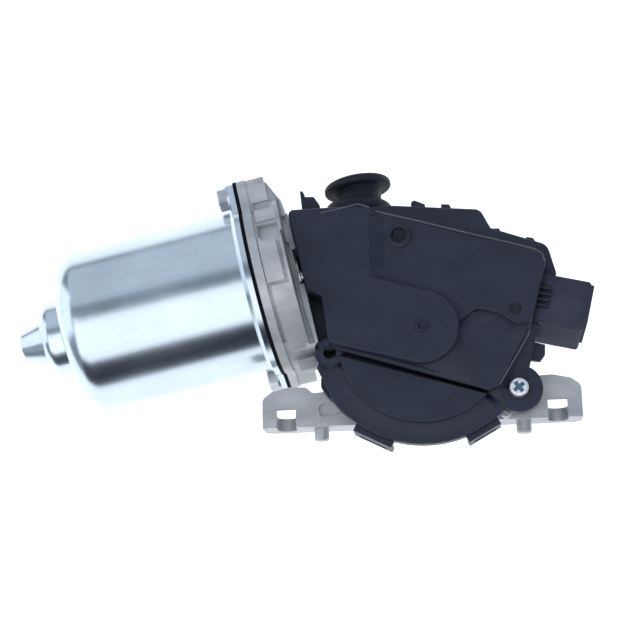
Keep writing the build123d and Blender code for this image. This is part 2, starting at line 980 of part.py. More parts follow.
def boss_ribs():
    """Eight radial ribs that brace the output boss under the floor."""
    reach = case_radius - 3
    rib = make_face(
        Polyline((output_boss_radius - 1, boss_face + 2.5), (reach, housing_bottom - 1.2),
                 (reach, housing_bottom), (output_boss_radius - 1, housing_bottom), close=True)
    )
    web = extrude(Plane.XZ * rib, 1.1, both=True)
    return [Rot(0, 0, angle) * web for angle in range(0, 360, 45)]


def motor_tube():
    """The casting's round mouth that the can bolts to, with its bolt ears."""
    barrel = rod(tube_radius, motor_face, tube_end)
    ears = slab(flange_sketch(flange_radius), motor_face, motor_face + 3.2)
    for place in ear_places():
        pillar = Pos(*place) * Circle(ear_radius - 0.4)
        pillar = make_hull(pillar.edges() + Circle(can_radius * 0.8).edges())
        ears += slab(pillar, motor_face, motor_face + bolt_thread_depth + 3)
    return barrel + ears


def motor_pads():
    """Raised machined pad on the tube's front."""
    start = motor_face + pad_lead
    block = Pos((pad_low + pad_high) / 2, 0, start) * Box(
        pad_high - pad_low,
        tube_radius + pad_rise,
        pad_width,
        align=(Align.CENTER, Align.MIN, Align.MIN),
    )
    return block & rod(tube_radius + pad_rise, motor_face, tube_end)


def motor_cuts():
    """Everything machined along the motor axis, in the motor's own frame."""
    web_low = tube_end - web_thickness
    seat_low = ball_bearing_front - ball_bearing_width
    cuts = rod(tube_bore, motor_face - 1, seat_low - 1)
    cuts += tube(tube_bore, ball_bearing_radius + bearing_boss_wall, seat_low - 1.5, web_low)
    cuts += rod(ball_bearing_radius, seat_low - 2, ball_bearing_front)
    cuts += rod(channel_radius, ball_bearing_front - 1, end_bush_start)
    cuts += rod(end_bush_radius, end_bush_start - 1, end_bush_start + end_bush_length)
    cuts += rod(end_journal_radius + 1, end_bush_start, end_bush_start + end_bush_length + 1.2)
    for place in ear_places():
        cuts += Pos(*place) * rod(bolt_radius, motor_face - 1, motor_face + bolt_thread_depth)
    return cuts


def foot_outline(slot_x, edge_x, top_y, inner_x):
    """Front view of one foot, between its outer edge and the case."""
    side = 1 if edge_x > slot_x else -1
    points = [
        (edge_x, foot_face),
        (edge_x, top_y - 4.2),
        (edge_x - side * 3.6, top_y - 1.4),
        (slot_x - side * 1.5, top_y),
        (slot_x - side * 7.5, top_y - 0.3),
        (slot_x - side * 10.0, top_y - 2.6),
        (inner_x, top_y - 1.2),
        (inner_x, foot_face),
    ]
    return polygon(points, [0.8, 2.5, 2.0, 3.0, 1.6, 1.6, 0, 0])


def foot(slot_x, edge_x, top_y, inner_x, pin_x):
    """L-shaped foot: thin web above a deep flange that the bolt's slot runs through."""
    outline = foot_outline(slot_x, edge_x, top_y, inner_x)
    body = slab(outline, foot_front - foot_web, foot_front)
    low = foot_front - foot_depth
    strip = Pos((edge_x + inner_x) / 2, foot_face + foot_flange / 2) * Rectangle(
        abs(edge_x - inner_x), foot_flange
    )
    flange = slab(strip, low, foot_front)
    flange = chamfer(flange.edges().filter_by(Axis.Y).sort_by(Axis.Z)[:2], 2.4)
    body += flange
    slot_high = foot_front + 1
    slot_low = foot_front - foot_slot_depth
    window = Pos(slot_x, (foot_window_top + foot_face) / 2 - 1) * Rectangle(
        foot_slot_width, foot_window_top - foot_face + 2
    )
    round_end = Pos(slot_x, 0, slot_low + foot_slot_width / 2)
    cut = slab(window, slot_low + foot_slot_width / 2, slot_high)
    bottom = extrude(Plane.XZ * Circle(foot_slot_width / 2), abs(foot_face) + 2)
    cut += round_end * (bottom & Pos(0, -abs(foot_face), 0) * Box(20, 2 * foot_flange + 4.2, 20))
    pin = extrude(Plane.XZ * Circle(pin_radius), pin_length)
    pin = Pos(pin_x, foot_face, pin_height) * fillet(pin.edges().group_by(Axis.Y)[0], 0.9)
    return body - cut + pin


def feet():
    left = foot(left_foot_slot, left_foot_edge, left_foot_top, -24.0, left_pin)
    right = foot(right_foot_slot, right_foot_edge, right_foot_top, 24.0, right_pin)
    return left, right


def cushion_post():
    """Cast post that carries the rubber cushion."""
    start = 34.0
    stem = extrude(Plane.XZ * Circle(post_radius), -(post_top - start))
    root = extrude(Plane.XZ * Circle(post_root_radius), -(cushion_base - start))
    return Pos(cushion_x, start, cushion_height) * (stem + root)


def gear_housing():
    """The whole aluminium casting."""
    body = gear_case() + motor_plane * (motor_tube() + motor_pads())
    for rib in boss_ribs():
        body += rib
    left_foot, right_foot = feet()
    body += left_foot
    body += right_foot
    body += cushion_post()
    body -= rod(cavity_radius, cavity_floor, joint_height + 1)
    body += tube(bush_radius + 3, bush_radius, housing_bottom, inner_boss_top)
    half = sqrt(channel_radius**2 - trench_rise**2)
    trench = channel_sketch(half, ball_bearing_front - 0.5, end_bush_start)
    body -= slab(trench, motor_axis_height + trench_rise, joint_height + 12)
    body -= motor_plane * motor_cuts()
    room = blind_boss_radius + base_gap
    body -= Pos(blind_boss_x, blind_boss_y) * rod(room, joint_height, rim_wall_height + 1)
    body -= rod(bush_radius, boss_face - 1, inner_boss_top + 1)
    body -= rod(shaft_radius + seal_gap * 2 + 2 * seal_section_radius, boss_face - 1, seal_top())
    for x, y, radius in (
        (cover_screw_x, cover_screw_y, screw_radius),
        (blind_boss_x, blind_boss_y, blind_hole_radius),
    ):
        body -= Pos(x, y) * rod(radius, joint_height - screw_length + 3, joint_height + 1)
    return body


# Cover


def cover_outline():
    """Plan of the whole cover, down to its joint face."""
    arc_start = radians(-50)
    arc_end = radians(-143)
    start = (cover_arc_radius * cos(arc_start), cover_arc_radius * sin(arc_start))
    end = (cover_arc_radius * cos(arc_end), cover_arc_radius * sin(arc_end))
    left = plan_point(cover_edge, rim_wall_low + 1.5)
    top_left = (plan_point(cover_edge, 22)[0], 48.2)
    points = [
        top_left,
        (-11.0, 48.8),
        (22.8, 45.4),
        (26.4, 38.0),
        (46.5, 30.6),
        (49.2, 19.6),
        (41.2, -1.0),
        (37.8, -14.0),
        start,
        end,
        (-38.6, -12.0),
        left,
    ]
    radii = [cover_corner, 6, 3.5, 1.2, 4.5, 1, 2, 1, 0, 0, 2, 0.8]
    outline = polygon(points, radii)
    outline += Circle(cover_arc_radius) & Pos(-3, -34) * Rectangle(60, 36)
    outline += Pos(cover_screw_x, cover_screw_y) * Circle(cover_ear_radius)
    return outline


def raised_outline():
    """Plan of the body that rises inside the cover's flange, above the groove."""
    points = [
        plan_point(cover_edge, 20.5),
        (-21.4, 46.4),
        (-16.5, 44.4),
        (42.4, 26.2),
        (45.2, 22.6),
        (39.2, 0.8),
        (26.4, -22.0),
        (22.6, -23.4),
        (-32.6, -5.6),
        (-35.8, 12.8),
        plan_point(cover_edge, -10.5),
    ]
    return polygon(points, [2, 4, 4, 2.5, 1.5, 1, 1.6, 1.6, 1.4, 1.2, 0.8])


def plateau_outline():
    """Plan of the highest part: the left plateau running into the tongue over the gear."""
    slope = radians(tongue_slope)
    side = (-sin(slope) * tongue_radius, cos(slope) * tongue_radius)
    tail = 31.0
    tail_low = (-side[0] - tail * cos(slope), -side[1] - tail * sin(slope))
    points = [
        plan_point(cover_edge, 20.5),
        (-21.4, 46.4),
        (-17.0, 44.5),
        (-17.6, 19.4),
        side,
        (-side[0], -side[1]),
        tail_low,
        (-35.8, 12.8),
        plan_point(cover_edge, -10.5),
    ]
    outline = polygon(points, [2, 4, 1, 1, 0, 0, 3, 1.2, 0.8])
    return outline + Circle(tongue_radius)


def circuit_outline():
    """Plan of the middle level at the upper right, over the circuit."""
    points = [
        (-17.5, 44.5),
        (42.4, 26.2),
        (45.2, 22.6),
        (39.2, 0.8),
        (33.6, -0.4),
        (27.9, 3.8),
        (19.6, 6.2),
        (12.0, 0.0),
        (-17.5, 10.0),
    ]
    return polygon(points, [0, 2.5, 2.2, 2.2, 3.0, 3.0, 4.0, 0, 0])


def crescent_outline():
    """Plan of the raised segment below the groove, over the wheel."""
    disc = Pos(0, crescent_centre_y) * Circle(crescent_radius)
    reach = 2 * crescent_radius
    below = Rot(0, 0, groove_slope) * Pos(0, -groove_offset - reach / 2) * Rectangle(2 * reach, reach)
    return disc & below


def cover_levels():
    return [
        (cover_outline(), rim_level),
        (raised_outline(), pocket_level),
        (circuit_outline(), circuit_level),
        (plateau_outline(), plateau_level),
        (crescent_outline(), crescent_level),
    ]


def soft_top(sketch, low, high, round_over):
    """Extruded level whose top edge is broken by a small round."""
    block = slab(sketch, low, high)
    return fillet(block.edges().group_by(Axis.Z)[-1], round_over)


def gear_cover():
    """Moulded cover: stepped levels of one wall thickness over a flat joint face."""
    low = joint_height + seal_thickness
    cover = None
    for sketch, level in cover_levels():
        block = soft_top(sketch, low, level, 0.7)
        cover = block if cover is None else cover + block
    for sketch, level in cover_levels():
        cover -= slab(offset(sketch, -cover_wall), low - 1, level - cover_wall)
    boss = Pos(blind_boss_x, blind_boss_y) * rod(blind_boss_radius, low, rim_level + 2.2)
    cover += boss
    cover += Pos(cover_screw_x, cover_screw_y) * rod(screw_head_radius + 1.2, low, rim_level)
    cover += Pos(ring_boss_x, ring_boss_y) * tube(
        ring_boss_radius, ring_boss_hole, circuit_level - 3, circuit_level + 0.8
    )
    cover -= Pos(ring_boss_x, ring_boss_y) * rod(ring_boss_hole, circuit_level - 1.6, plateau_level)
    cover += tube(2.2, 1.3, plateau_level - 0.2, plateau_level + 0.5)
    cover -= Pos(dimple_x, dimple_y) * rod(dimple_radius, circuit_level - 1.1, plateau_level)
    cover -= Pos(blind_boss_x, blind_boss_y) * rod(blind_hole_radius, low - 1, plateau_level)
    hole = screw_radius + screw_hole_clearance
    cover -= Pos(cover_screw_x, cover_screw_y) * rod(hole, low - 1, plateau_level)
    return cover


def cover_seal():
    """Rubber seal between the casting, the base and the cover."""
    outline = offset(cover_outline(), -0.5)
    band = outline - offset(outline, -cover_wall + 0.2)
    ears = Pos(cover_screw_x, cover_screw_y) * Circle(screw_head_radius + 1.2)
    band += ears - Pos(cover_screw_x, cover_screw_y) * Circle(screw_radius + screw_hole_clearance)
    return slab(band, joint_height, joint_height + seal_thickness)


def cover_screw():
    """Pan-head screw with a cross recess."""
    head = rod(screw_head_radius, 0, screw_head_height)
    head = fillet(head.edges().group_by(Axis.Z)[-1], 1.0)
    cross = Rectangle(4.0, 1.0) + Rectangle(1.0, 4.0)
    head -= slab(cross, screw_head_height - 1.2, screw_head_height + 1)
    low = joint_height - screw_length + 3.2 - rim_level
    return Pos(cover_screw_x, cover_screw_y, rim_level) * (head + rod(screw_radius, low, 0))


# Terminal base and connector


def base_outline():
    """Plan of the moulded base under the cover's upper right part."""
    outline = offset(cover_outline(), -0.4)
    outline -= Circle(case_radius + base_gap)
    boss_width = end_bush_radius + end_boss_wall + base_gap
    outline -= channel_sketch(boss_width, 0, channel_end + base_gap)
    outline -= Pos(case_right + base_gap - 50, 0) * Rectangle(100, 200)
    outline -= Pos(0, base_lowest - 50) * Rectangle(200, 100)
    return outline


def terminal_base():
    """Open trays that close the cover from below beside the casting."""
    outline = base_outline()
    tray = slab(outline, base_floor, joint_height)
    for face in outline.faces():
        inner = offset(face, -base_wall)
        tray -= slab(inner, base_floor + base_wall, joint_height + 1)
    return tray


def connector_place():
    return Pos(connector_start_x, connector_start_y, 0) * Rot(0, 0, connector_angle)


def connector_shroud():
    """Socket for the harness plug: a flat box open at its outer end, with grip ribs."""
    height = connector_high - connector_low
    middle = (connector_high + connector_low) / 2
    side = (Align.MIN, Align.CENTER, Align.CENTER)
    box = Pos(0, 0, middle) * Box(connector_reach, connector_width, height, align=side)
    box = fillet(box.edges().filter_by(Axis.X), 2.2)
    room = Pos(connector_floor, 0, middle) * Box(
        connector_reach, connector_width - 2 * connector_wall, height - 2 * connector_wall,
        align=side,
    )
    box -= room
    for index in range(connector_rib_count):
        y = (index - (connector_rib_count - 1) / 2) * 2.1 + 1.0
        box += Pos(0, y, connector_high) * Box(connector_grip, 0.9, 0.8, align=side)
    return connector_place() * box - slab(cover_outline(), connector_low - 1, plateau_level)


def connector_terminals():
    middle = (connector_high + connector_low) / 2
    blades = []
    for index in range(terminal_count):
        z = middle + (index - (terminal_count - 1) / 2) * terminal_pitch
        blade = Pos(connector_floor, 0, z) * Box(
            terminal_length, terminal_thickness, terminal_width,
            align=(Align.MIN, Align.CENTER, Align.CENTER),
        )
        blades.append(connector_place() * blade)
    return blades


# Park switch and circuit


def contact_carrier():
    """Moulded plate under the cover that holds the park switch's fingers."""
    plate = polygon([(-14, 20), (20, 20), (20, 30), (30, 26), (30, 12), (14, 8), (-14, 8)], 1.5)
    carrier = slab(plate, carrier_height, carrier_height + carrier_thickness)
    post_high = circuit_level - cover_wall
    for x, y in ((-6, 16), (24, 20)):
        carrier += Pos(x, y) * rod(2.4, carrier_height, post_high)
    return carrier


def park_fingers():
    """Spring fingers that bend down from the carrier onto the wheel's brass ring."""
    fingers = []
    tip = cam_plate_top + finger_air
    high = carrier_height
    for radius in finger_radii:
        outline = [
            (finger_root, high - finger_thickness),
            (finger_root - 4, high - finger_thickness),
            (finger_tip + 1.6, tip + 0.8),
            (finger_tip, tip),
            (finger_tip, tip + finger_thickness),
            (finger_tip + 1.4, tip + 0.8 + finger_thickness),
            (finger_root - 4.2, high),
            (finger_root, high),
        ]
        strip = Plane.YZ * make_face(Polyline(*outline, close=True))
        strip = extrude(strip, finger_width / 2, both=True)
        fingers.append(Pos(radius, 0, 0) * strip)
    return fingers


def circuit_breaker():
    low = carrier_height + carrier_thickness
    can = Box(
        breaker_length, breaker_width, breaker_height,
        align=(Align.CENTER, Align.CENTER, Align.MIN),
    )
    can = fillet(can.edges().filter_by(Axis.Z), 1.0)
    return Pos(10, 14, low) * can


# Cushion


def mount_cushion():
    """Rubber mushroom: a wide disc on a neck, gripping a steel sleeve."""
    disc_low = cushion_top - cushion_disc_thickness
    foot_high = cushion_base + cushion_foot_thickness
    points = [
        (sleeve_radius, cushion_base),
        (cushion_foot_radius, cushion_base),
        (cushion_foot_radius, foot_high),
        (cushion_neck_radius, foot_high),
        (cushion_neck_radius, disc_low),
        (cushion_disc_radius, disc_low),
        (cushion_disc_radius, cushion_top),
        (sleeve_radius, cushion_top),
    ]
    shape = turned(points, [0, 1.0, 1.0, 0.6, 0.8, 1.2, 1.6, 0.6])
    return Pos(cushion_x, 0, cushion_height) * Rot(-90, 0, 0) * shape


def cushion_sleeve():
    shape = tube(sleeve_radius, post_radius + sleeve_gap, cushion_base, cushion_top - 0.4)
    return Pos(cushion_x, 0, cushion_height) * Rot(-90, 0, 0) * shape


parts = {
    "motor_can": motor_can,
    "can_gasket": can_gasket,
    "can_bolts": can_bolts,
    "field_magnets": field_magnets,
    "magnet_clips": magnet_clips,
    "armature_shaft": armature_shaft,
    "armature_core": armature_core,
    "core_insulators": core_insulators,
    "armature_windings": armature_windings,
    "commutator": commutator,
    "commutator_sleeve": commutator_sleeve,
    "bearing_outer_race": bearing_outer_race,
    "bearing_inner_race": bearing_inner_race,
    "bearing_balls": bearing_balls,
    "rear_bush": rear_bush,
    "bush_retainer": bush_retainer,
    "rear_seat": rear_seat,
    "thrust_pad": thrust_pad,
    "thrust_ball": thrust_ball,
    "worm_end_bush": end_bush,
    "low_speed_brush": lambda: brush(low_speed_angle),
    "common_brush": lambda: brush(common_angle),
    "high_speed_brush": lambda: brush(high_speed_angle),
    "low_speed_spring": lambda: brush_spring(low_speed_angle),
    "common_spring": lambda: brush_spring(common_angle),
    "high_speed_spring": lambda: brush_spring(high_speed_angle),
    "brush_tubes": brush_tubes,
    "brush_plate": brush_plate,
    "suppression_chokes": suppression_chokes,
    "output_shaft": output_shaft,
    "worm_wheel": worm_wheel,
    "wheel_hub": wheel_hub,
    "cam_plate": cam_plate,
    "thrust_washer": thrust_washer,
    "output_bushes": output_bushes,
    "shaft_seal": shaft_seal,
    "outer_washer": outer_washer,
    "retaining_ring": retaining_ring,
    "gear_housing": gear_housing,
    "gear_cover": gear_cover,
    "cover_seal": cover_seal,
    "cover_screw": cover_screw,
    "terminal_base": terminal_base,
    "connector_shroud": connector_shroud,
    "connector_terminals": connector_terminals,
    "contact_carrier": contact_carrier,
    "park_fingers": park_fingers,
    "circuit_breaker": circuit_breaker,
    "mount_cushion": mount_cushion,
    "cushion_sleeve": cushion_sleeve,
}


def solids_of(shape):
    pieces = shape if isinstance(shape, list) else [shape]
    return [solid for piece in pieces for solid in piece.solids()]


os.makedirs("parts", exist_ok=True)
for name, make in parts.items():
    solids = solids_of(make())
    whole = solids[0] if len(solids) == 1 else Compound(children=solids)
    export_step(whole, f"parts/{name}.step")
    print(name, len(solids))
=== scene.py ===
import json
from math import asin, cos, pi, radians, sin, tan

import bmesh
import bpy
from mathutils import Matrix, Vector


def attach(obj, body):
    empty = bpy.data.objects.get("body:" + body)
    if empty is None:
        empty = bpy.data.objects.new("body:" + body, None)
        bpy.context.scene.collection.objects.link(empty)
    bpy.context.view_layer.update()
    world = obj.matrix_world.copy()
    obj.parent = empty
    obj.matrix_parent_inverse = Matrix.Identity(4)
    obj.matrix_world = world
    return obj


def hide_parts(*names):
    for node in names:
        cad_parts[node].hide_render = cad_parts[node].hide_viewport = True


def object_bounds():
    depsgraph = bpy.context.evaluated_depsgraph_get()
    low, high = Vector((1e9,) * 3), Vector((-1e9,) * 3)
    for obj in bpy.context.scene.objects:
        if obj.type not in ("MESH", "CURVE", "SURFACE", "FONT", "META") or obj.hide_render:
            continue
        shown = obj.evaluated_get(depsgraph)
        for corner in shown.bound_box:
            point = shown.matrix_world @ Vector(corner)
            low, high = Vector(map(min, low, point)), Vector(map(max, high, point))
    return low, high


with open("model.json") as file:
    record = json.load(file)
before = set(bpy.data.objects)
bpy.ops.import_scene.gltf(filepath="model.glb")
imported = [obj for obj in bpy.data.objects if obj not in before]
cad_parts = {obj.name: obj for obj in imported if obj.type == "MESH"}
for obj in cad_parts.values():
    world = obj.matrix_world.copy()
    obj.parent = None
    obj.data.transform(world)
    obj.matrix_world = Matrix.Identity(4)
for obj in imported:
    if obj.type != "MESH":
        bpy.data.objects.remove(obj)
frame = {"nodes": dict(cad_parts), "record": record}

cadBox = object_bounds()
record = frame["record"]
slotOf = {part["node"]: part["material_slot"] for part in record["subparts"]}
perMetre = 1000  # new pieces are drawn in millimetres, as the CAD is
print("frame loaded:", len(frame["nodes"]), "nodes")


# shader sockets that add and multiply like numbers
class Wire:
    def __init__(self, socket):
        self.socket = socket
        self.tree = socket.id_data

    def node(self, kind, settings=None, inputs=None, output=0):
        made = self.tree.nodes.new("ShaderNode" + kind)
        for name, value in (settings or {}).items():
            setattr(made, name, value)
        for name, value in (inputs or {}).items():
            if isinstance(value, Wire):
                self.tree.links.new(value.socket, made.inputs[name])
            else:
                made.inputs[name].default_value = value
        return Wire(made.outputs[output])

    def maths(self, operation, left, right):
        return self.node("Math", {"operation": operation}, {0: left, 1: right})

    def __add__(self, other):
        return self.maths("ADD", self, other)

    def __radd__(self, other):
        return self.maths("ADD", other, self)

    def __sub__(self, other):
        return self.maths("SUBTRACT", self, other)

    def __rsub__(self, other):
        return self.maths("SUBTRACT", other, self)

    def __mul__(self, other):
        return self.maths("MULTIPLY", self, other)

    def __rmul__(self, other):
        return self.maths("MULTIPLY", other, self)


def noise(place, scale, detail=4.0, roughness=0.55, stretch=(1, 1, 1), turn=0.0):
    spot = place.node(
        "Mapping", {"vector_type": "POINT"}, {"Vector": place, "Scale": stretch, "Rotation": (0, 0, turn)}
    )
    look = {"Vector": spot, "Scale": scale, "Detail": detail, "Roughness": roughness}
    return place.node("TexNoise", {"noise_dimensions": "3D"}, look)


def between(wire, low, high):
    # 0 below low and 1 above high
    return wire.node("MapRange", {"clamp": True}, {"Value": wire, "From Min": low, "From Max": high})


def weighed(first, second, share):
    # two patterns added up, the first by its share and the second by the rest
    return first * share + second * (1 - share)


def mixed(share, first, second):
    inputs = {"Factor": share, 6: first, 7: second}
    return share.node("Mix", {"data_type": "RGBA"}, inputs, 2)


def bumped(height, strength, distance):
    inputs = {"Height": height, "Strength": strength, "Distance": distance}
    return height.node("Bump", None, inputs)


def shade(colour, gain):
    return tuple(min(1.0, part * gain) for part in colour) + (1.0,)


def newFinish(name, fixed):
    # a material, its Principled node and the object's own coordinates
    material = bpy.data.materials.new(name)
    material.use_nodes = True
    surface = material.node_tree.nodes["Principled BSDF"]
    for socket, value in fixed.items():
        surface.inputs[socket].default_value = value
    coordinates = material.node_tree.nodes.new("ShaderNodeTexCoord")
    return material, surface, Wire(coordinates.outputs["Object"])


def feed(surface, wires):
    for socket, wire in wires.items():
        wire.tree.links.new(wire.socket, surface.inputs[socket])


motorTilt = radians(12)  # the can's axis leans this much from X towards Y
motorOffset, motorHeight = 0.0345, 0.030  # from the output shaft's axis, and above the frame's origin
motorCentre = Vector((-sin(motorTilt) * motorOffset, cos(motorTilt) * motorOffset, motorHeight))
motorAxis = Vector((cos(motorTilt), sin(motorTilt), 0))
motorAcross = Vector((-sin(motorTilt), cos(motorTilt), 0))
motorTurn = Matrix((motorAxis, motorAcross, Vector((0, 0, 1)))).transposed().to_4x4()
motorFrame = Matrix.Translation(motorCentre * perMetre) @ motorTurn


def alongMotor(place):
    # turns coordinates so that X runs along the motor's axis
    kind = {"vector_type": "POINT"}
    moved = place.node("Mapping", kind, {"Vector": place, "Location": tuple(-motorCentre)})
    return moved.node("Mapping", kind, {"Vector": moved, "Rotation": (0, 0, -motorTilt)})


def stripes(lined, pitch, wander=0.0):
    # a wave along the motor's axis, one per pitch
    along = lined.node("SeparateXYZ", None, {0: lined}, 0)
    return lined.node("Math", {"operation": "SINE"}, {0: along * (2 * pi / pitch) + wander})


metalLooks = {
    "zinc_steel": dict(
        colour=(0.52, 0.59, 0.66), rough=0.17, vary=0.10, grain=900, bump=0.02, cloud=42, tone=0.10,
    ),
    "bolt_steel": dict(
        colour=(0.50, 0.53, 0.56), rough=0.30, vary=0.12, grain=1500, bump=0.05, cloud=300, tone=0.2,
    ),
    "spring_steel": dict(
        colour=(0.48, 0.50, 0.54), rough=0.25, vary=0.10, grain=1800, bump=0.03, cloud=260, tone=0.15,
    ),
    "shaft_steel": dict(
        colour=(0.62, 0.63, 0.66), rough=0.18, vary=0.10, grain=1600, bump=0.03, cloud=180, tone=0.1,
    ),
    "sleeve_steel": dict(
        colour=(0.43, 0.44, 0.46), rough=0.32, vary=0.12, grain=1400, bump=0.04, cloud=200, tone=0.15,
    ),
    "bronze": dict(
        colour=(0.50, 0.35, 0.19), rough=0.42, vary=0.16, grain=3200, bump=0.15, cloud=500, tone=0.3,
    ),
    "brass_sheet": dict(
        colour=(0.76, 0.60, 0.28), rough=0.24, vary=0.14, grain=1700, bump=0.03, cloud=240, tone=0.2,
    ),
    "plated_sheet": dict(
        colour=(0.72, 0.71, 0.68), rough=0.22, vary=0.12, grain=1500, bump=0.03, cloud=240, tone=0.15,
    ),
    "screwZinc": dict(
        colour=(0.74, 0.78, 0.86), rough=0.40, vary=0.14, grain=1500, bump=0.08, cloud=600, tone=0.2,
    ),
    # dark plate on the cross recess's floor: painted shade
    "recessPaintedShade": dict(
        colour=(0.12, 0.18, 0.24), rough=0.45, vary=0.12, grain=1500, bump=0.08, cloud=600, tone=0.3,
    ),
    "ferrite": dict(
        colour=(0.07, 0.07, 0.08), rough=0.55, vary=0.12, grain=2600, bump=0.12, cloud=400, tone=0.3,
    ),
}
metalMix = dict(
    drawn=(0.04, 1, 1), specks=1.7, lift=0.6, toneShare=0.7, toneRange=(0.35, 0.65),
    roughShare=0.6, roughRange=(0.3, 0.7), reliefShare=0.6, relief=0.0004,
)


def metalFinish(name, look, mix):
    # plated or ground metal: cloudy tone, drawing lines along the motor and fine pits
    material, surface, place = newFinish(name, {"Metallic": 1.0, "Specular IOR Level": 0.5})
    cloud = noise(place, look["cloud"], 3.0)
    lines = noise(alongMotor(place), look["grain"], 3.0, 0.6, mix["drawn"])
    specks = noise(place, look["grain"] * mix["specks"], 2.0)
    dark = shade(look["colour"], 1 - look["tone"])
    bright = shade(look["colour"], 1 + look["tone"] * mix["lift"])
    tone = mixed(between(weighed(cloud, lines, mix["toneShare"]), *mix["toneRange"]), dark, bright)
    wear = weighed(between(cloud, *mix["roughRange"]), lines, mix["roughShare"])
    rough = look["rough"] + look["vary"] * wear
    relief = bumped(weighed(lines, specks, mix["reliefShare"]), look["bump"], mix["relief"])
    feed(surface, {"Base Color": tone, "Roughness": rough, "Normal": relief})
    return material


castLook = dict(
    colour=(0.47, 0.48, 0.51), dark=0.80, bright=1.1, grain=2600, cloud=70, flow=(1, 2.4, 1), flowTurn=0.5,
    toneShare=0.7, toneRange=(0.36, 0.64), cut=(0.66, 0.66, 0.68), scuffs=0.35, scuffScale=210,
    scuffStretch=(1, 0.35, 1), scuffRange=(0.66, 0.74), skin=0.50, skinVary=0.14, skinRange=(0.3, 0.7),
    scuffShine=0.12, pits=0.28, pitShare=0.8, relief=0.0006,
)


def castFinish(name, look):
    # die-cast alloy: grey skin with a fine grain, flow marks and a few bright scuffs
    material, surface, place = newFinish(name, {"Metallic": 0.9, "Specular IOR Level": 0.5})
    grain = noise(place, look["grain"], 3.0, 0.7)
    flow = noise(place, look["cloud"], 4.0, 0.5, look["flow"], look["flowTurn"])
    dark, bright = shade(look["colour"], look["dark"]), shade(look["colour"], look["bright"])
    skin = mixed(between(weighed(flow, grain, look["toneShare"]), *look["toneRange"]), dark, bright)
    marks = noise(place, look["scuffScale"], 3.0, 0.6, look["scuffStretch"])
    scuffs = between(marks, *look["scuffRange"]) * look["scuffs"]
    tone = mixed(scuffs, skin, shade(look["cut"], 1))
    rough = look["skin"] + look["skinVary"] * between(grain, *look["skinRange"]) - look["scuffShine"] * scuffs
    relief = bumped(weighed(grain, flow, look["pitShare"]), look["pits"], look["relief"])
    feed(surface, {"Base Color": tone, "Roughness": rough, "Normal": relief})
    return material


mouldLooks = {
    "cover_plastic": dict(
        colour=(0.018, 0.022, 0.041), rough=0.38, grain=3000, bump=0.10, cloud=60, dust=0.20, gloss=0.26,
    ),
    # lighter plastic of the edge beads: a painted highlight along the cover's edges
    "ridgeHighlightPlastic": dict(
        colour=(0.060, 0.066, 0.090), rough=0.32, grain=3000, bump=0.10, cloud=90, dust=0.20, gloss=0.4,
    ),
    "connector_plastic": dict(
        colour=(0.044, 0.047, 0.072), rough=0.55, grain=3200, bump=0.10, cloud=80, dust=0.10, gloss=0.02,
    ),
    "cushion_rubber": dict(
        colour=(0.011, 0.012, 0.022), rough=0.50, grain=2400, bump=0.12, cloud=120, dust=0.30, gloss=0.22,
    ),
    "gasket_rubber": dict(
        colour=(0.004, 0.004, 0.008), rough=0.66, grain=2600, bump=0.20, cloud=160, dust=0.0, gloss=0.08,
    ),
    "acetal": dict(
        colour=(0.80, 0.78, 0.70), rough=0.36, grain=2200, bump=0.05, cloud=90, dust=0.0, gloss=0.4,
    ),
    "insulation": dict(
        colour=(0.08, 0.15, 0.10), rough=0.45, grain=2400, bump=0.08, cloud=120, dust=0.1, gloss=0.4,
    ),
    "board": dict(
        colour=(0.15, 0.09, 0.05), rough=0.48, grain=2100, bump=0.10, cloud=150, dust=0.1, gloss=0.4,
    ),
    "carbon": dict(
        colour=(0.035, 0.035, 0.038), rough=0.60, grain=3600, bump=0.25, cloud=300, dust=0.3, gloss=0.3,
    ),
}
mouldMix = dict(
    flow=(1, 1.8, 1), flowTurn=0.3, dark=0.86, bright=1.14, toneRange=(0.35, 0.65),
    dustScale=7, dustRange=(0.60, 0.75), dustLift=0.012, dustGain=1.2,
    # the crease shade values paint shade into creases: the occlusion's reach, its range and how dark it goes
    creaseShadeReach=0.0035, creaseShadeRange=(0.30, 0.85), creaseShadeGain=0.15,
    roughFlow=0.10, roughRange=(0.3, 0.7), roughGrain=0.06, relief=0.0003,
)


def mouldFinish(name, look, mix):
    # moulded plastic or rubber: fine spark grain, faint flow marks, and painted shade that darkens the colour
    # where faces meet
    material, surface, place = newFinish(name, {"Metallic": 0.0, "Specular IOR Level": look["gloss"]})
    grain = noise(place, look["grain"], 2.0, 0.6)
    flow = noise(place, look["cloud"], 4.0, 0.6, mix["flow"], mix["flowTurn"])
    dark, bright = shade(look["colour"], mix["dark"]), shade(look["colour"], mix["bright"])
    skin = mixed(between(flow, *mix["toneRange"]), dark, bright)
    specks = noise(place, look["cloud"] * mix["dustScale"], 3.0, 0.7)
    dust = between(specks, *mix["dustRange"]) * look["dust"]
    dusty = [part + mix["dustLift"] for part in look["colour"]]
    tone = mixed(dust, skin, shade(dusty, mix["dustGain"]))
    # painted shade: ambient occlusion darkens the colour in creases and recesses
    openness = place.node("AmbientOcclusion", {"samples": 8}, {"Distance": mix["creaseShadeReach"]}, 1)
    tone = mixed(between(openness, *mix["creaseShadeRange"]), shade(look["colour"], mix["creaseShadeGain"]), tone)
    rough = look["rough"] + mix["roughFlow"] * between(flow, *mix["roughRange"]) + mix["roughGrain"] * grain
    relief = bumped(grain, look["bump"], mix["relief"])
    feed(surface, {"Base Color": tone, "Roughness": rough, "Normal": relief})
    return material


copperLook = dict(
    colour=(0.70, 0.30, 0.13), gap=(0.20, 0.07, 0.03), wire=0.0009, wireRange=(-0.7, 0.7),
    wanderScale=120, wander=9, rough=0.30, vary=0.2, bump=0.5, relief=0.0003,
)


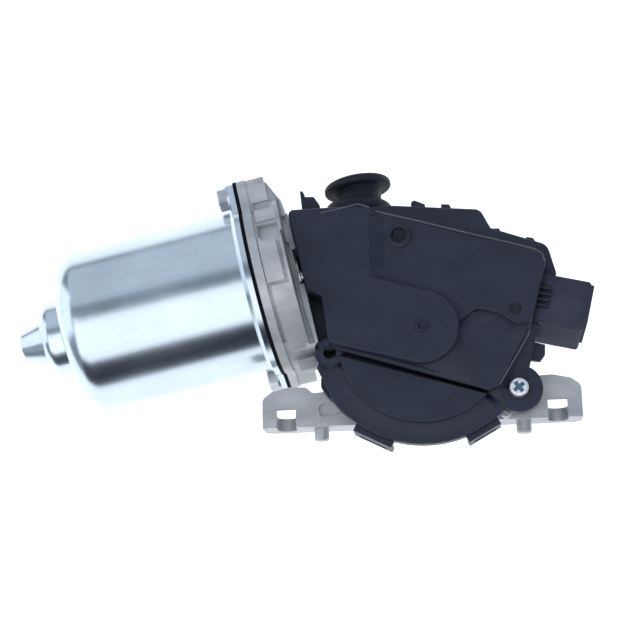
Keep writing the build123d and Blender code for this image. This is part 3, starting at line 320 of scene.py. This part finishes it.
def copperFinish(name, look):
    # enamelled wire laid side by side, so the bundle shows as fine parallel lines
    fixed = {"Metallic": 0.85, "Coat Roughness": 0.15, "Coat Weight": 0.4}
    material, surface, place = newFinish(name, fixed)
    lined = alongMotor(place)
    wander = noise(lined, look["wanderScale"], 2.0)
    wires = between(stripes(lined, look["wire"], wander * look["wander"]), *look["wireRange"])
    feed(surface, {
        "Base Color": mixed(wires, shade(look["gap"], 1), shade(look["colour"], 1)),
        "Roughness": look["rough"] + look["vary"] * wander,
        "Normal": bumped(wires, look["bump"], look["relief"]),
    })
    return material


sheetLook = dict(
    colour=(0.30, 0.31, 0.34), seam=(0.10, 0.10, 0.11), sheet=0.0005, sheetRange=(-0.8, 0.2),
    cloud=240, rough=0.36, vary=0.2, bump=0.4, relief=0.0002,
)


def stackFinish(name, look):
    # laminations: thin steel sheets stacked along the motor's axis
    material, surface, place = newFinish(name, {"Metallic": 1.0})
    sheets = between(stripes(alongMotor(place), look["sheet"]), *look["sheetRange"])
    cloud = noise(place, look["cloud"], 3.0)
    feed(surface, {
        "Base Color": mixed(sheets, shade(look["seam"], 1), shade(look["colour"], 1)),
        "Roughness": look["rough"] + look["vary"] * cloud,
        "Normal": bumped(sheets, look["bump"], look["relief"]),
    })
    return material


finishes = {name: metalFinish(name, look, metalMix) for name, look in metalLooks.items()}
finishes.update({name: mouldFinish(name, look, mouldMix) for name, look in mouldLooks.items()})
finishes["cast_alloy"] = castFinish("cast_alloy", castLook)
finishes["copper"] = copperFinish("copper", copperLook)
finishes["core_steel"] = stackFinish("core_steel", sheetLook)
for node, thing in frame["nodes"].items():
    thing.data.materials.clear()
    thing.data.materials.append(finishes[slotOf[node]])
print("finishes made:", len(finishes))


level = 1e-4  # heights closer than this count as one


def rounded(mesh, edges, radius, segments=4):
    if radius:
        bmesh.ops.bevel(
            mesh, geom=edges, offset=radius, offset_type="OFFSET", segments=segments,
            profile=0.5, affect="EDGES", clamp_overlap=True, material=-1,
        )


def topEdges(mesh, height):
    return [edge for edge in mesh.edges if min(corner.co.z for corner in edge.verts) > height - level]


def uprightEdges(mesh):
    return [edge for edge in mesh.edges if abs(edge.verts[0].co.z - edge.verts[1].co.z) > level]


def block(low, high, edge=0.0):
    # six-sided block between two corners
    mesh = bmesh.new()
    bmesh.ops.create_cube(mesh, size=1)
    bmesh.ops.scale(mesh, verts=mesh.verts, vec=[top - bottom for bottom, top in zip(low, high)])
    bmesh.ops.translate(mesh, verts=mesh.verts, vec=[(top + bottom) / 2 for bottom, top in zip(low, high)])
    rounded(mesh, mesh.edges[:], edge, 3)
    return mesh


def disc(radius, low, high, segments=48):
    mesh = bmesh.new()
    size = dict(radius1=radius, radius2=radius, depth=high - low)
    bmesh.ops.create_cone(mesh, cap_ends=True, segments=segments, **size)
    bmesh.ops.translate(mesh, verts=mesh.verts, vec=(0, 0, (low + high) / 2))
    return mesh


def prism(outline, low, high, corner=0.0, top=0.0):
    # straight-sided solid over a plan outline, its upright and top edges rounded
    mesh = bmesh.new()
    mesh.faces.new([mesh.verts.new((x, y, low)) for x, y in outline])
    grown = bmesh.ops.extrude_face_region(mesh, geom=mesh.faces[:])["geom"]
    moved = [part for part in grown if isinstance(part, bmesh.types.BMVert)]
    bmesh.ops.translate(mesh, verts=moved, vec=(0, 0, high - low))
    rounded(mesh, uprightEdges(mesh), corner)
    rounded(mesh, topEdges(mesh, high), top, 3)
    bmesh.ops.recalc_face_normals(mesh, faces=mesh.faces)
    return mesh


def ringPart(inner, outer, start, end, left, right, steps=12):
    # part of a tube about X, between two places across it
    mesh = bmesh.new()
    corners = [(start, inner), (end, inner), (end, outer), (start, outer)]
    mesh.faces.new([mesh.verts.new((x, 0, z)) for x, z in corners])
    first, last = -asin(right / outer), -asin(left / outer)
    bmesh.ops.rotate(mesh, verts=mesh.verts, matrix=Matrix.Rotation(first, 3, "X"))
    bmesh.ops.spin(
        mesh, geom=mesh.verts[:] + mesh.edges[:] + mesh.faces[:], cent=(0, 0, 0), axis=(1, 0, 0),
        angle=last - first, steps=steps, use_merge=False, use_duplicate=False,
    )
    bmesh.ops.recalc_face_normals(mesh, faces=mesh.faces)
    return mesh


def placed(mesh, matrix):
    mesh.transform(matrix)
    return mesh


def shifted(point):
    return Matrix.Translation((*point, 0))


def turned(degrees):
    return Matrix.Rotation(radians(degrees), 4, "Z")


def together(meshes):
    whole = bmesh.new()
    for mesh in meshes:
        data = bpy.data.meshes.new("part")
        mesh.to_mesh(data)
        whole.from_mesh(data)
        bpy.data.meshes.remove(data)
        mesh.free()
    return whole


def copyOf(node):
    # the CAD node's shape as one closed mesh
    mesh = bmesh.new()
    mesh.from_mesh(frame["nodes"][node].data)
    bmesh.ops.scale(mesh, verts=mesh.verts, vec=(perMetre, perMetre, perMetre))
    bmesh.ops.remove_doubles(mesh, verts=mesh.verts, dist=0.001)
    return mesh


def held(mesh, name):
    data = bpy.data.meshes.new(name)
    mesh.to_mesh(data)
    mesh.free()
    thing = bpy.data.objects.new(name, data)
    bpy.context.scene.collection.objects.link(thing)
    return thing


def carved(mesh, additions=(), cuts=()):
    # joins the additions to the mesh, then cuts the others from it
    thing = held(mesh, "carved")
    steps = [(tool, "UNION") for tool in additions] + [(tool, "DIFFERENCE") for tool in cuts]
    for tool, operation in steps:
        tool = held(tool, "tool")
        step = thing.modifiers.new("step", "BOOLEAN")
        step.operation, step.solver, step.object = operation, "EXACT", tool
        view = bpy.context.evaluated_depsgraph_get()
        data = bpy.data.meshes.new_from_object(thing.evaluated_get(view))
        thing.modifiers.clear()
        thing.data = data
        bpy.data.objects.remove(tool)
    result = bmesh.new()
    result.from_mesh(thing.data)
    bpy.data.objects.remove(thing)
    bmesh.ops.remove_doubles(result, verts=result.verts, dist=0.0005)
    return result


def makePiece(name, mesh, finish, nodes=(), crease=32):
    bmesh.ops.scale(mesh, verts=mesh.verts, vec=(1 / perMetre, 1 / perMetre, 1 / perMetre))
    piece = held(mesh, name)
    faces = piece.data.polygons
    piece.data.materials.clear()
    piece.data.materials.append(finishes[finish])
    faces.foreach_set("use_smooth", [True] * len(faces))
    faces.foreach_set("material_index", [0] * len(faces))
    piece.data.set_sharp_from_angle(angle=radians(crease))
    even = piece.modifiers.new("evenShading", "WEIGHTED_NORMAL")
    even.keep_sharp = True
    even.weight = 100
    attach(piece, "housing")
    if nodes:
        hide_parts(*nodes)
    print("piece made:", name, len(faces), "faces")


# the casting's tube at the can's flange, in the motor's frame of (along, across, up):
# rings as (start, end, left, right), blocks as two corners, outlines as (along, across)
tubeLook = dict(
    radius=32.4, cutDepth=1.2, cutRise=2.0,
    cuts=[
        (-42.83, -41.6, -10.2, 7.3), (-49.26, -42.7, -10.17, -9.0), (-49.7, -48.4, -29.0, -10.1),
        (-48.03, -41.02, 7.23, 14.5),
    ],
    smallPad=(-49.14, -42.87, -9.0, -7.53), padDepth=1.03, padRise=0.96,
    earCut=((-48.5, 20.3, 23.2), (-42.9, 24.6, 33.4)),
    rimCut=((-40.65, -29.5, 12.6), (-39.35, 10.0, 33.4)),
    wedge=[(-40.6, -29.6), (-38.45, -29.6), (-39.35, -16.0), (-40.6, -16.0)], wedgeSpan=(12.6, 33.4),
    upperBlock=((-48.3, 15.5, 25.0), (-41.0, 20.1, 28.7)),
    lowerPad=((-46.6, -36.2, 1.0), (-40.3, -31.0, 5.0)),
    earWeb=[(-46.0, 33.4), (-42.3, 33.4), (-38.3, 24.8), (-38.3, 19.0), (-46.0, 19.0)], webSpan=(9.0, 19.1),
)
footLook = dict(
    recess=[(-39.5, -24.5), (-38.4, -23.0), (-29.5, -22.3), (-29.7, -26.7), (-38.5, -27.9)],
    recessDepth=1.0, recessCorner=0.8, above=1, face=31.0,
    boss=(28.6, -29.13), bossRadius=2.1, bossRoot=2, bossTop=36.0, bossSides=32,
)
# latches as (angle, width, drop) round the output shaft
latchLook = dict(
    latches=[(-117, 15.0, 7.0), (-61, 13.0, 4.9)], radius=41.3, thickness=1.7, rise=4.0, joint=36.0,
    wall=2.0, bridgeLow=1.6, bridgeLap=0.5, bar=2.0, window=(-1, 3), windowRoom=0.6,
    lug=2.4, lugRoot=33.3, lugOut=1.1, lugGap=0.3, lugEdge=0.3,
)
castCrease = 18
flatAngle = radians(0.6)


def tubeBlock(corners):
    return placed(block(*corners), motorFrame)


def tubePrism(outline, span):
    return placed(prism(outline, *span), motorFrame)


def tubeRing(look, depth, rise, span):
    return placed(ringPart(look["radius"] - depth, look["radius"] + rise, *span), motorFrame)


def latchLug(look, angle, width, drop):
    low = look["joint"] - drop + look["bar"] + look["lugGap"]
    half = width / 2 - look["bar"] - look["lugGap"]
    far = (look["radius"] + look["lugOut"], half, low + look["lug"])
    return placed(block((look["lugRoot"], -half, low), far, look["lugEdge"]), turned(angle))


def makeCasting(tube, foot, latch):
    face = foot["face"]
    cuts = [tubeRing(tube, tube["cutDepth"], tube["cutRise"], span) for span in tube["cuts"]]
    cuts += [tubeBlock(tube["earCut"]), tubeBlock(tube["rimCut"])]
    cuts.append(tubePrism(tube["wedge"], tube["wedgeSpan"]))
    cuts.append(prism(foot["recess"], face - foot["recessDepth"], face + foot["above"], foot["recessCorner"]))
    extra = [tubeBlock(tube["upperBlock"]), tubeBlock(tube["lowerPad"])]
    extra.append(tubeRing(tube, tube["padDepth"], tube["padRise"], tube["smallPad"]))
    extra.append(tubePrism(tube["earWeb"], tube["webSpan"]))
    boss = disc(foot["bossRadius"], face - foot["bossRoot"], foot["bossTop"], foot["bossSides"])
    extra.append(placed(boss, shifted(foot["boss"])))
    extra += [latchLug(latch, *size) for size in latch["latches"]]
    mesh = carved(copyOf("gear_housing"), extra, cuts)
    # flat strips become one face each, so the round walls shade evenly
    bmesh.ops.dissolve_limit(
        mesh, angle_limit=flatAngle, verts=mesh.verts, edges=mesh.edges,
        use_dissolve_boundaries=False, delimit=set(),
    )
    makePiece("casting", mesh, "cast_alloy", nodes=["gear_housing"], crease=castCrease)


coverLook = dict(
    tabs=[
        [(-2.5, 50.2), (-1.3, 51.0), (2.7, 49.2), (2.7, 46.5), (-2.5, 46.5)],
        [(8.6, 48.9), (11.6, 48.7), (13.0, 46.0), (8.6, 45.5)],
        [(26.6, 38.5), (29.5, 38.4), (30.5, 36.0), (32.6, 35.5), (32.6, 33.0), (26.2, 35.0)],
        [(39.1, 34.6), (41.6, 34.1), (42.9, 32.0), (39.0, 31.0)],
        [(-43.9, 56.9), (-42.8, 56.9), (-41.7, 54.0), (-41.5, 46.5), (-42.9, 46.5), (-43.6, 53.7)],
        [(-41.9, 54.6), (-38.7, 54.4), (-36.5, 51.0), (-36.3, 46.5), (-41.4, 46.5)],
        [(38.0, -4.5), (43.7, -6.2), (43.5, -9.9), (41.6, -12.3), (37.0, -11.5)],
    ],
    tabLow=36.9, tabHigh=39.0, tabCorner=0.3, tabEdge=0.2,
    lump=[(-37.5, -14.7), (-37.6, -18.4), (-34.8, -22.3), (-30.4, -24.3), (-34.0, -14.1)],
    lumpLow=31.6, lumpHigh=38.2, lumpCorner=0.6, lumpEdge=0.4,
    notch=[(-43.0, 15.2), (-40.9, 15.2), (-36.3, 12.6), (-33.4, -4.3), (-38.4, -4.1)],
    notchFloor=38.2, notchCorner=0.4, rim=41.5, above=1,
    cup=[(-41.2, 16.0), (-35.0, 13.6), (-31.9, -5.6), (-38.95, -5.6)],
    cupLow=36.9, cupBelow=0.1,
    slope=[(-18.4, 46.8), (-18.4, 49.95), (-17.8, 49.95), (-12.6, 47.55), (-12.6, 46.8)],
    slopeFrom=17.6, slopeTo=42.4,
)


def latchLoop(look, angle, width, drop):
    # loop that hangs from the cover's edge round a lug of the casting
    start, joint, half, bar = look["radius"], look["joint"], width / 2, look["bar"]
    top = joint + look["rise"]
    strap = block((start, -half, joint - drop), (start + look["thickness"], half, top))
    near = (start - look["wall"], -half, joint + look["bridgeLow"])
    bridge = block(near, (start + look["bridgeLap"], half, top))
    low = joint - drop + bar
    inside, outside = look["window"]
    high = low + look["lug"] + look["windowRoom"]
    window = block((start + inside, bar - half, low), (start + outside, half - bar, high))
    return placed(carved(strap, [bridge], [window]), turned(angle))


def makeCover(look, latch):
    turnUp = Matrix.Rotation(pi / 2, 4, "X")
    slope = placed(prism(look["slope"], -look["slopeTo"], -look["slopeFrom"]), turnUp)
    cup = prism(look["cup"], look["cupLow"], look["rim"] - look["cupBelow"])
    notch = prism(look["notch"], look["notchFloor"], look["rim"] + look["above"], look["notchCorner"])
    tabs = [
        prism(outline, look["tabLow"], look["tabHigh"], look["tabCorner"], look["tabEdge"])
        for outline in look["tabs"]
    ]
    tabs.append(prism(look["lump"], look["lumpLow"], look["lumpHigh"], look["lumpCorner"], look["lumpEdge"]))
    cover = carved(copyOf("gear_cover"), [slope, cup], [notch])
    makePiece("mouldedCover", cover, "cover_plastic", nodes=["gear_cover"])
    makePiece("coverTabs", together(tabs), "cover_plastic")
    loops = [latchLoop(latch, *size) for size in latch["latches"]]
    makePiece("coverLatches", together(loops), "cover_plastic")


# socket for the harness plug, in its own frame: X out of the cover
socketLook = dict(
    start=(43.2, 11.4), turn=-14, root=-3.5, outer=16.9, left=8.3, right=-10.3, low=11.0, high=42.4, edge=1.2,
    lip=18.0, lipHalf=7.2, lipLap=3, lipStep=0.3, lipEdge=0.4, floor=3.0, roomHalf=5.4, wall=1.8, beyond=2,
    shelfFrom=-8.0, shelfTo=2.6, shelfDepth=2, shelfBelow=0.02, shelfEdge=0.3,
    ribs=4, ribPitch=2.2, ribMiddle=-0.6, ribWidth=1.0, ribRise=0.8, ribTo=3.6, ribDepth=1, ribEdge=0.2,
)


def socketRib(look, index):
    middle = look["ribMiddle"] + (index - (look["ribs"] - 1) / 2) * look["ribPitch"]
    half = look["ribWidth"] / 2
    near = (look["shelfFrom"], middle - half, look["high"] - look["ribDepth"])
    return block(near, (look["ribTo"], middle + half, look["high"] + look["ribRise"]), look["ribEdge"])


def makeSocket(look):
    place = shifted(look["start"]) @ turned(look["turn"])
    low, high, left, right = look["low"], look["high"], look["left"], look["right"]
    shell = block((look["root"], right, low), (look["outer"], left, high), look["edge"])
    near = (look["outer"] - look["lipLap"], -look["lipHalf"], low + look["lipStep"])
    lip = block(near, (look["lip"], look["lipHalf"], high - look["lipStep"]), look["lipEdge"])
    room = block(
        (look["floor"], -look["roomHalf"], low + look["wall"]),
        (look["lip"] + look["beyond"], look["roomHalf"], high - look["wall"]),
    )
    shell = placed(carved(shell, [lip], [room]), place)
    makePiece("socketShell", shell, "connector_plastic", nodes=["connector_shroud"])
    near = (look["shelfFrom"], right, high - look["shelfDepth"])
    shelf = block(near, (look["shelfTo"], left, high - look["shelfBelow"]), look["shelfEdge"])
    parts = [shelf] + [socketRib(look, index) for index in range(look["ribs"])]
    makePiece("socketShelf", placed(together(parts), place), "cover_plastic")


# rubber mushroom as a turned half outline of (radius, height) and the round at each corner
cushionLook = dict(
    outline=[
        (5.4, 49.0, 0), (12.6, 49.0, 1.0), (12.6, 53.8, 2.6), (8.6, 53.8, 0.6),
        (8.6, 59.0, 0.8), (12.7, 59.0, 1.1), (12.7, 62.2, 1.5), (5.4, 62.2, 0.6),
    ],
    middle=(-22.5, 28.5), steps=72, roundSteps=5, lean=8.0, leanFrom=54.5, leanTo=58.0, bore=6.0, spread=2,
)


def within(share):
    return min(1, max(0, share))


def makeCushion(look):
    mesh = bmesh.new()
    corners = [mesh.verts.new((radius, height, 0)) for radius, height, edge in look["outline"]]
    for index in range(len(corners)):
        mesh.edges.new((corners[index - 1], corners[index]))
    for corner, (radius, height, edge) in zip(corners, look["outline"]):
        if edge:
            bmesh.ops.bevel(
                mesh, geom=[corner], offset=edge, offset_type="OFFSET", segments=look["roundSteps"],
                profile=0.5, affect="VERTICES", clamp_overlap=True, material=-1,
            )
    bmesh.ops.spin(
        mesh, geom=mesh.verts[:] + mesh.edges[:], cent=(0, 0, 0), axis=(0, 1, 0), angle=2 * pi,
        steps=look["steps"], use_merge=True, use_duplicate=False,
    )
    bmesh.ops.remove_doubles(mesh, verts=mesh.verts, dist=0.001)
    bmesh.ops.recalc_face_normals(mesh, faces=mesh.faces)
    # the disc leans on its neck, more towards its rim
    for corner in mesh.verts:
        rise = (corner.co.y - look["leanFrom"]) / (look["leanTo"] - look["leanFrom"])
        spread = (Vector((corner.co.x, corner.co.z)).length - look["bore"]) / look["spread"]
        lean = Matrix.Rotation(radians(look["lean"] * within(rise) * within(spread)), 3, "Z")
        bmesh.ops.rotate(mesh, verts=[corner], cent=(0, look["leanTo"], 0), matrix=lean)
    bmesh.ops.translate(mesh, verts=mesh.verts, vec=(look["middle"][0], 0, look["middle"][1]))
    makePiece("rubberCushion", mesh, "cushion_rubber", nodes=["mount_cushion"])


screwLook = dict(
    middle=(33.4, -22.2), seat=41.5, radius=3.5, height=2.4, edge=1.0, edgeSteps=5,
    shank=2.0, low=27.2, lap=0.3, arm=2.2, width=1.5, deep=1.2, turn=36, above=1,
    floorGap=0.02, floorSpan=(-0.1, 0.25),
)


def makeScrew(look):
    seat, top = look["seat"], look["seat"] + look["height"]
    low = top - look["deep"]
    head = disc(look["radius"], seat, top)
    rounded(head, topEdges(head, top), look["edge"], look["edgeSteps"])
    arms, floor = [], []
    for angle in (look["turn"], look["turn"] + 90):
        reach, half = look["arm"], look["width"] / 2
        arm = block((-reach, -half, low), (reach, half, top + look["above"]))
        arms.append(placed(arm, turned(angle)))
        reach, half = reach - look["floorGap"], half - look["floorGap"]
        below, over = look["floorSpan"]
        arm = block((-reach, -half, low + below), (reach, half, low + over))
        floor.append(placed(arm, turned(angle)))
    place = shifted(look["middle"])
    screw = placed(carved(head, [disc(look["shank"], look["low"], seat + look["lap"])], arms), place)
    makePiece("crossScrew", screw, "screwZinc", nodes=["cover_screw"])
    # a dark plate on the recess floor paints the shade inside the cross
    cross = placed(carved(floor[0], floor[1:]), place)
    makePiece("crossFloorShade", cross, "recessPaintedShade")


# raised beads along the cover's stepped edges, their lighter colour a painted highlight, as (plan points,
# height)
ridgeLook = dict(
    radius=0.34, steps=3,
    lines=[
        ([(-35.4, 44.2), (-28.0, 45.5), (-21.8, 46.9), (-17.4, 45.4)], 49.8),
        ([
            (-15.4, 44.6), (0.9, 39.8), (16.9, 34.8), (32.9, 30.0), (41.6, 27.2), (44.0, 25.4), (44.9, 22.4),
        ], 47.3),
        ([(38.3, -2.0), (37.1, -4.6), (31.3, -13.9), (26.6, -21.5)], 45.1),
    ],
)


def makeRidges(look):
    for number, (points, height) in enumerate(look["lines"], 1):
        line = bpy.data.curves.new("ridge", "CURVE")
        line.dimensions = "3D"
        line.bevel_depth = look["radius"] / perMetre
        line.bevel_resolution = look["steps"]
        line.use_fill_caps = True
        path = line.splines.new("POLY")
        path.points.add(len(points) - 1)
        for point, (x, y) in zip(path.points, points):
            point.co = (x / perMetre, y / perMetre, height / perMetre, 1)
        ridge = bpy.data.objects.new("coverRidge%d" % number, line)
        bpy.context.scene.collection.objects.link(ridge)
        line.materials.append(finishes["ridgeHighlightPlastic"])
        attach(ridge, "housing")
    print("ridges made:", len(look["lines"]))


makeScrew(screwLook)
makeRidges(ridgeLook)
makeCasting(tubeLook, footLook, latchLook)
makeCover(coverLook, latchLook)
makeSocket(socketLook)
makeCushion(cushionLook)


# pale floor just under the shaft's end, with a glow that keeps it white
floorLook = dict(
    height=cadBox[0][2] - 0.0005, size=6.0, colour=(0.95, 0.95, 0.955), dark=0.985, haze=6.0,
    rough=0.65, vary=0.05, glow=0.72,
)


def makeFloor(look):
    mesh = bmesh.new()
    bmesh.ops.create_grid(mesh, x_segments=2, y_segments=2, size=look["size"] / 2)
    bmesh.ops.translate(mesh, verts=mesh.verts, vec=(0, 0, look["height"]))
    floor = held(mesh, "floor")
    fixed = {"Specular IOR Level": 0.2, "Emission Color": (1, 1, 1, 1), "Emission Strength": look["glow"]}
    material, surface, place = newFinish("floorPaper", fixed)
    haze = noise(place, look["haze"], 2.0)
    tone = mixed(haze, shade(look["colour"], look["dark"]), shade(look["colour"], 1.0))
    feed(surface, {"Base Color": tone, "Roughness": look["rough"] + look["vary"] * haze})
    floor.data.materials.append(material)


# dark backdrop on the feet's side, out of the camera's view and seen only in gloss
backdropLook = dict(
    start=-0.42, end=0.19, away=-0.30, low=-0.0085, high=0.222,
    colour=(0.012, 0.016, 0.03), dark=0.9, bright=1.1, weave=400,
)


def makeBackdrop(look):
    mesh = bmesh.new()
    bmesh.ops.create_grid(mesh, x_segments=1, y_segments=1, size=0.5)
    size = (look["end"] - look["start"], look["high"] - look["low"], 1)
    bmesh.ops.scale(mesh, verts=mesh.verts, vec=size)
    bmesh.ops.rotate(mesh, verts=mesh.verts, matrix=Matrix.Rotation(pi / 2, 3, "X"))
    height = (look["high"] + look["low"]) / 2 - motorCentre.z
    bmesh.ops.translate(mesh, verts=mesh.verts, vec=((look["start"] + look["end"]) / 2, look["away"], height))
    mesh.transform(Matrix.Translation(motorCentre) @ Matrix.Rotation(motorTilt, 4, "Z"))
    backdrop = held(mesh, "backdrop")
    material, surface, place = newFinish("backdropCloth", {"Specular IOR Level": 0.1})
    weave = noise(place, look["weave"], 2.0)
    dark, bright = shade(look["colour"], look["dark"]), shade(look["colour"], look["bright"])
    feed(surface, {"Base Color": mixed(weave, dark, bright)})
    backdrop.data.materials.append(material)
    backdrop.visible_camera = False
    backdrop.visible_diffuse = False
    backdrop.visible_shadow = False


lights = {
    "topBox": dict(at=(-0.05, -0.50, 0.88), size=(1.7, 1.1), power=8.5, colour=(1, 0.995, 0.985)),
    "rearBox": dict(at=(0.0, 0.73, 0.64), size=(1.7, 1.2), power=3.6, colour=(0.86, 0.93, 1)),
    "leftLight": dict(at=(-0.95, 0.15, 0.42), size=(0.9, 0.8), power=3.2, colour=(0.88, 0.94, 1)),
}
lightAim = Vector((-0.03, 0, 0.03))


def makeLight(name, look):
    data = bpy.data.lights.new(name, "AREA")
    data.shape = "RECTANGLE"
    data.size, data.size_y = look["size"]
    data.energy = look["power"]
    data.color = look["colour"]
    lamp = bpy.data.objects.new(name, data)
    lamp.location = look["at"]
    lamp.rotation_euler = (Vector(look["at"]) - lightAim).to_track_quat("Z", "Y").to_euler()
    bpy.context.scene.collection.objects.link(lamp)


roomLook = dict(colour=(0.72, 0.86, 1.0), strength=0.36)


def makeRoom(look):
    world = bpy.data.worlds.new("room")
    world.use_nodes = True
    sky = world.node_tree.nodes["Background"]
    sky.inputs["Color"].default_value = (*look["colour"], 1)
    sky.inputs["Strength"].default_value = look["strength"]
    bpy.context.scene.world = world


# the photograph's view: from above the cover, a little right of it and from the feet's side
cameraLook = dict(
    target=(-0.036261, 0.003841, 0.050), distance=0.538, right=5.5, down=14.5, roll=-1.2533,
    lens=84.375, sensor=36, near=0.01,
)


def makeCamera(look):
    away = Vector((tan(radians(look["right"])), -tan(radians(look["down"])), 1)).normalized()
    sideways = Vector((0, 1, 0)).cross(away).normalized()
    rise = away.cross(sideways)
    turn = radians(look["roll"])
    side = sideways * cos(turn) + rise * sin(turn)
    top = rise * cos(turn) - sideways * sin(turn)
    data = bpy.data.cameras.new("camera")
    data.lens = look["lens"]
    data.sensor_width = look["sensor"]
    data.clip_start = look["near"]
    camera = bpy.data.objects.new("camera", data)
    bpy.context.scene.collection.objects.link(camera)
    facing = Matrix((side, top, away)).transposed().to_4x4()
    camera.matrix_world = Matrix.Translation(Vector(look["target"]) + away * look["distance"]) @ facing
    bpy.context.scene.camera = camera


makeFloor(floorLook)
makeBackdrop(backdropLook)
for name, look in lights.items():
    makeLight(name, look)
makeRoom(roomLook)
makeCamera(cameraLook)
bpy.context.scene.view_settings.view_transform = "Standard"
print("floor, lights and camera set")
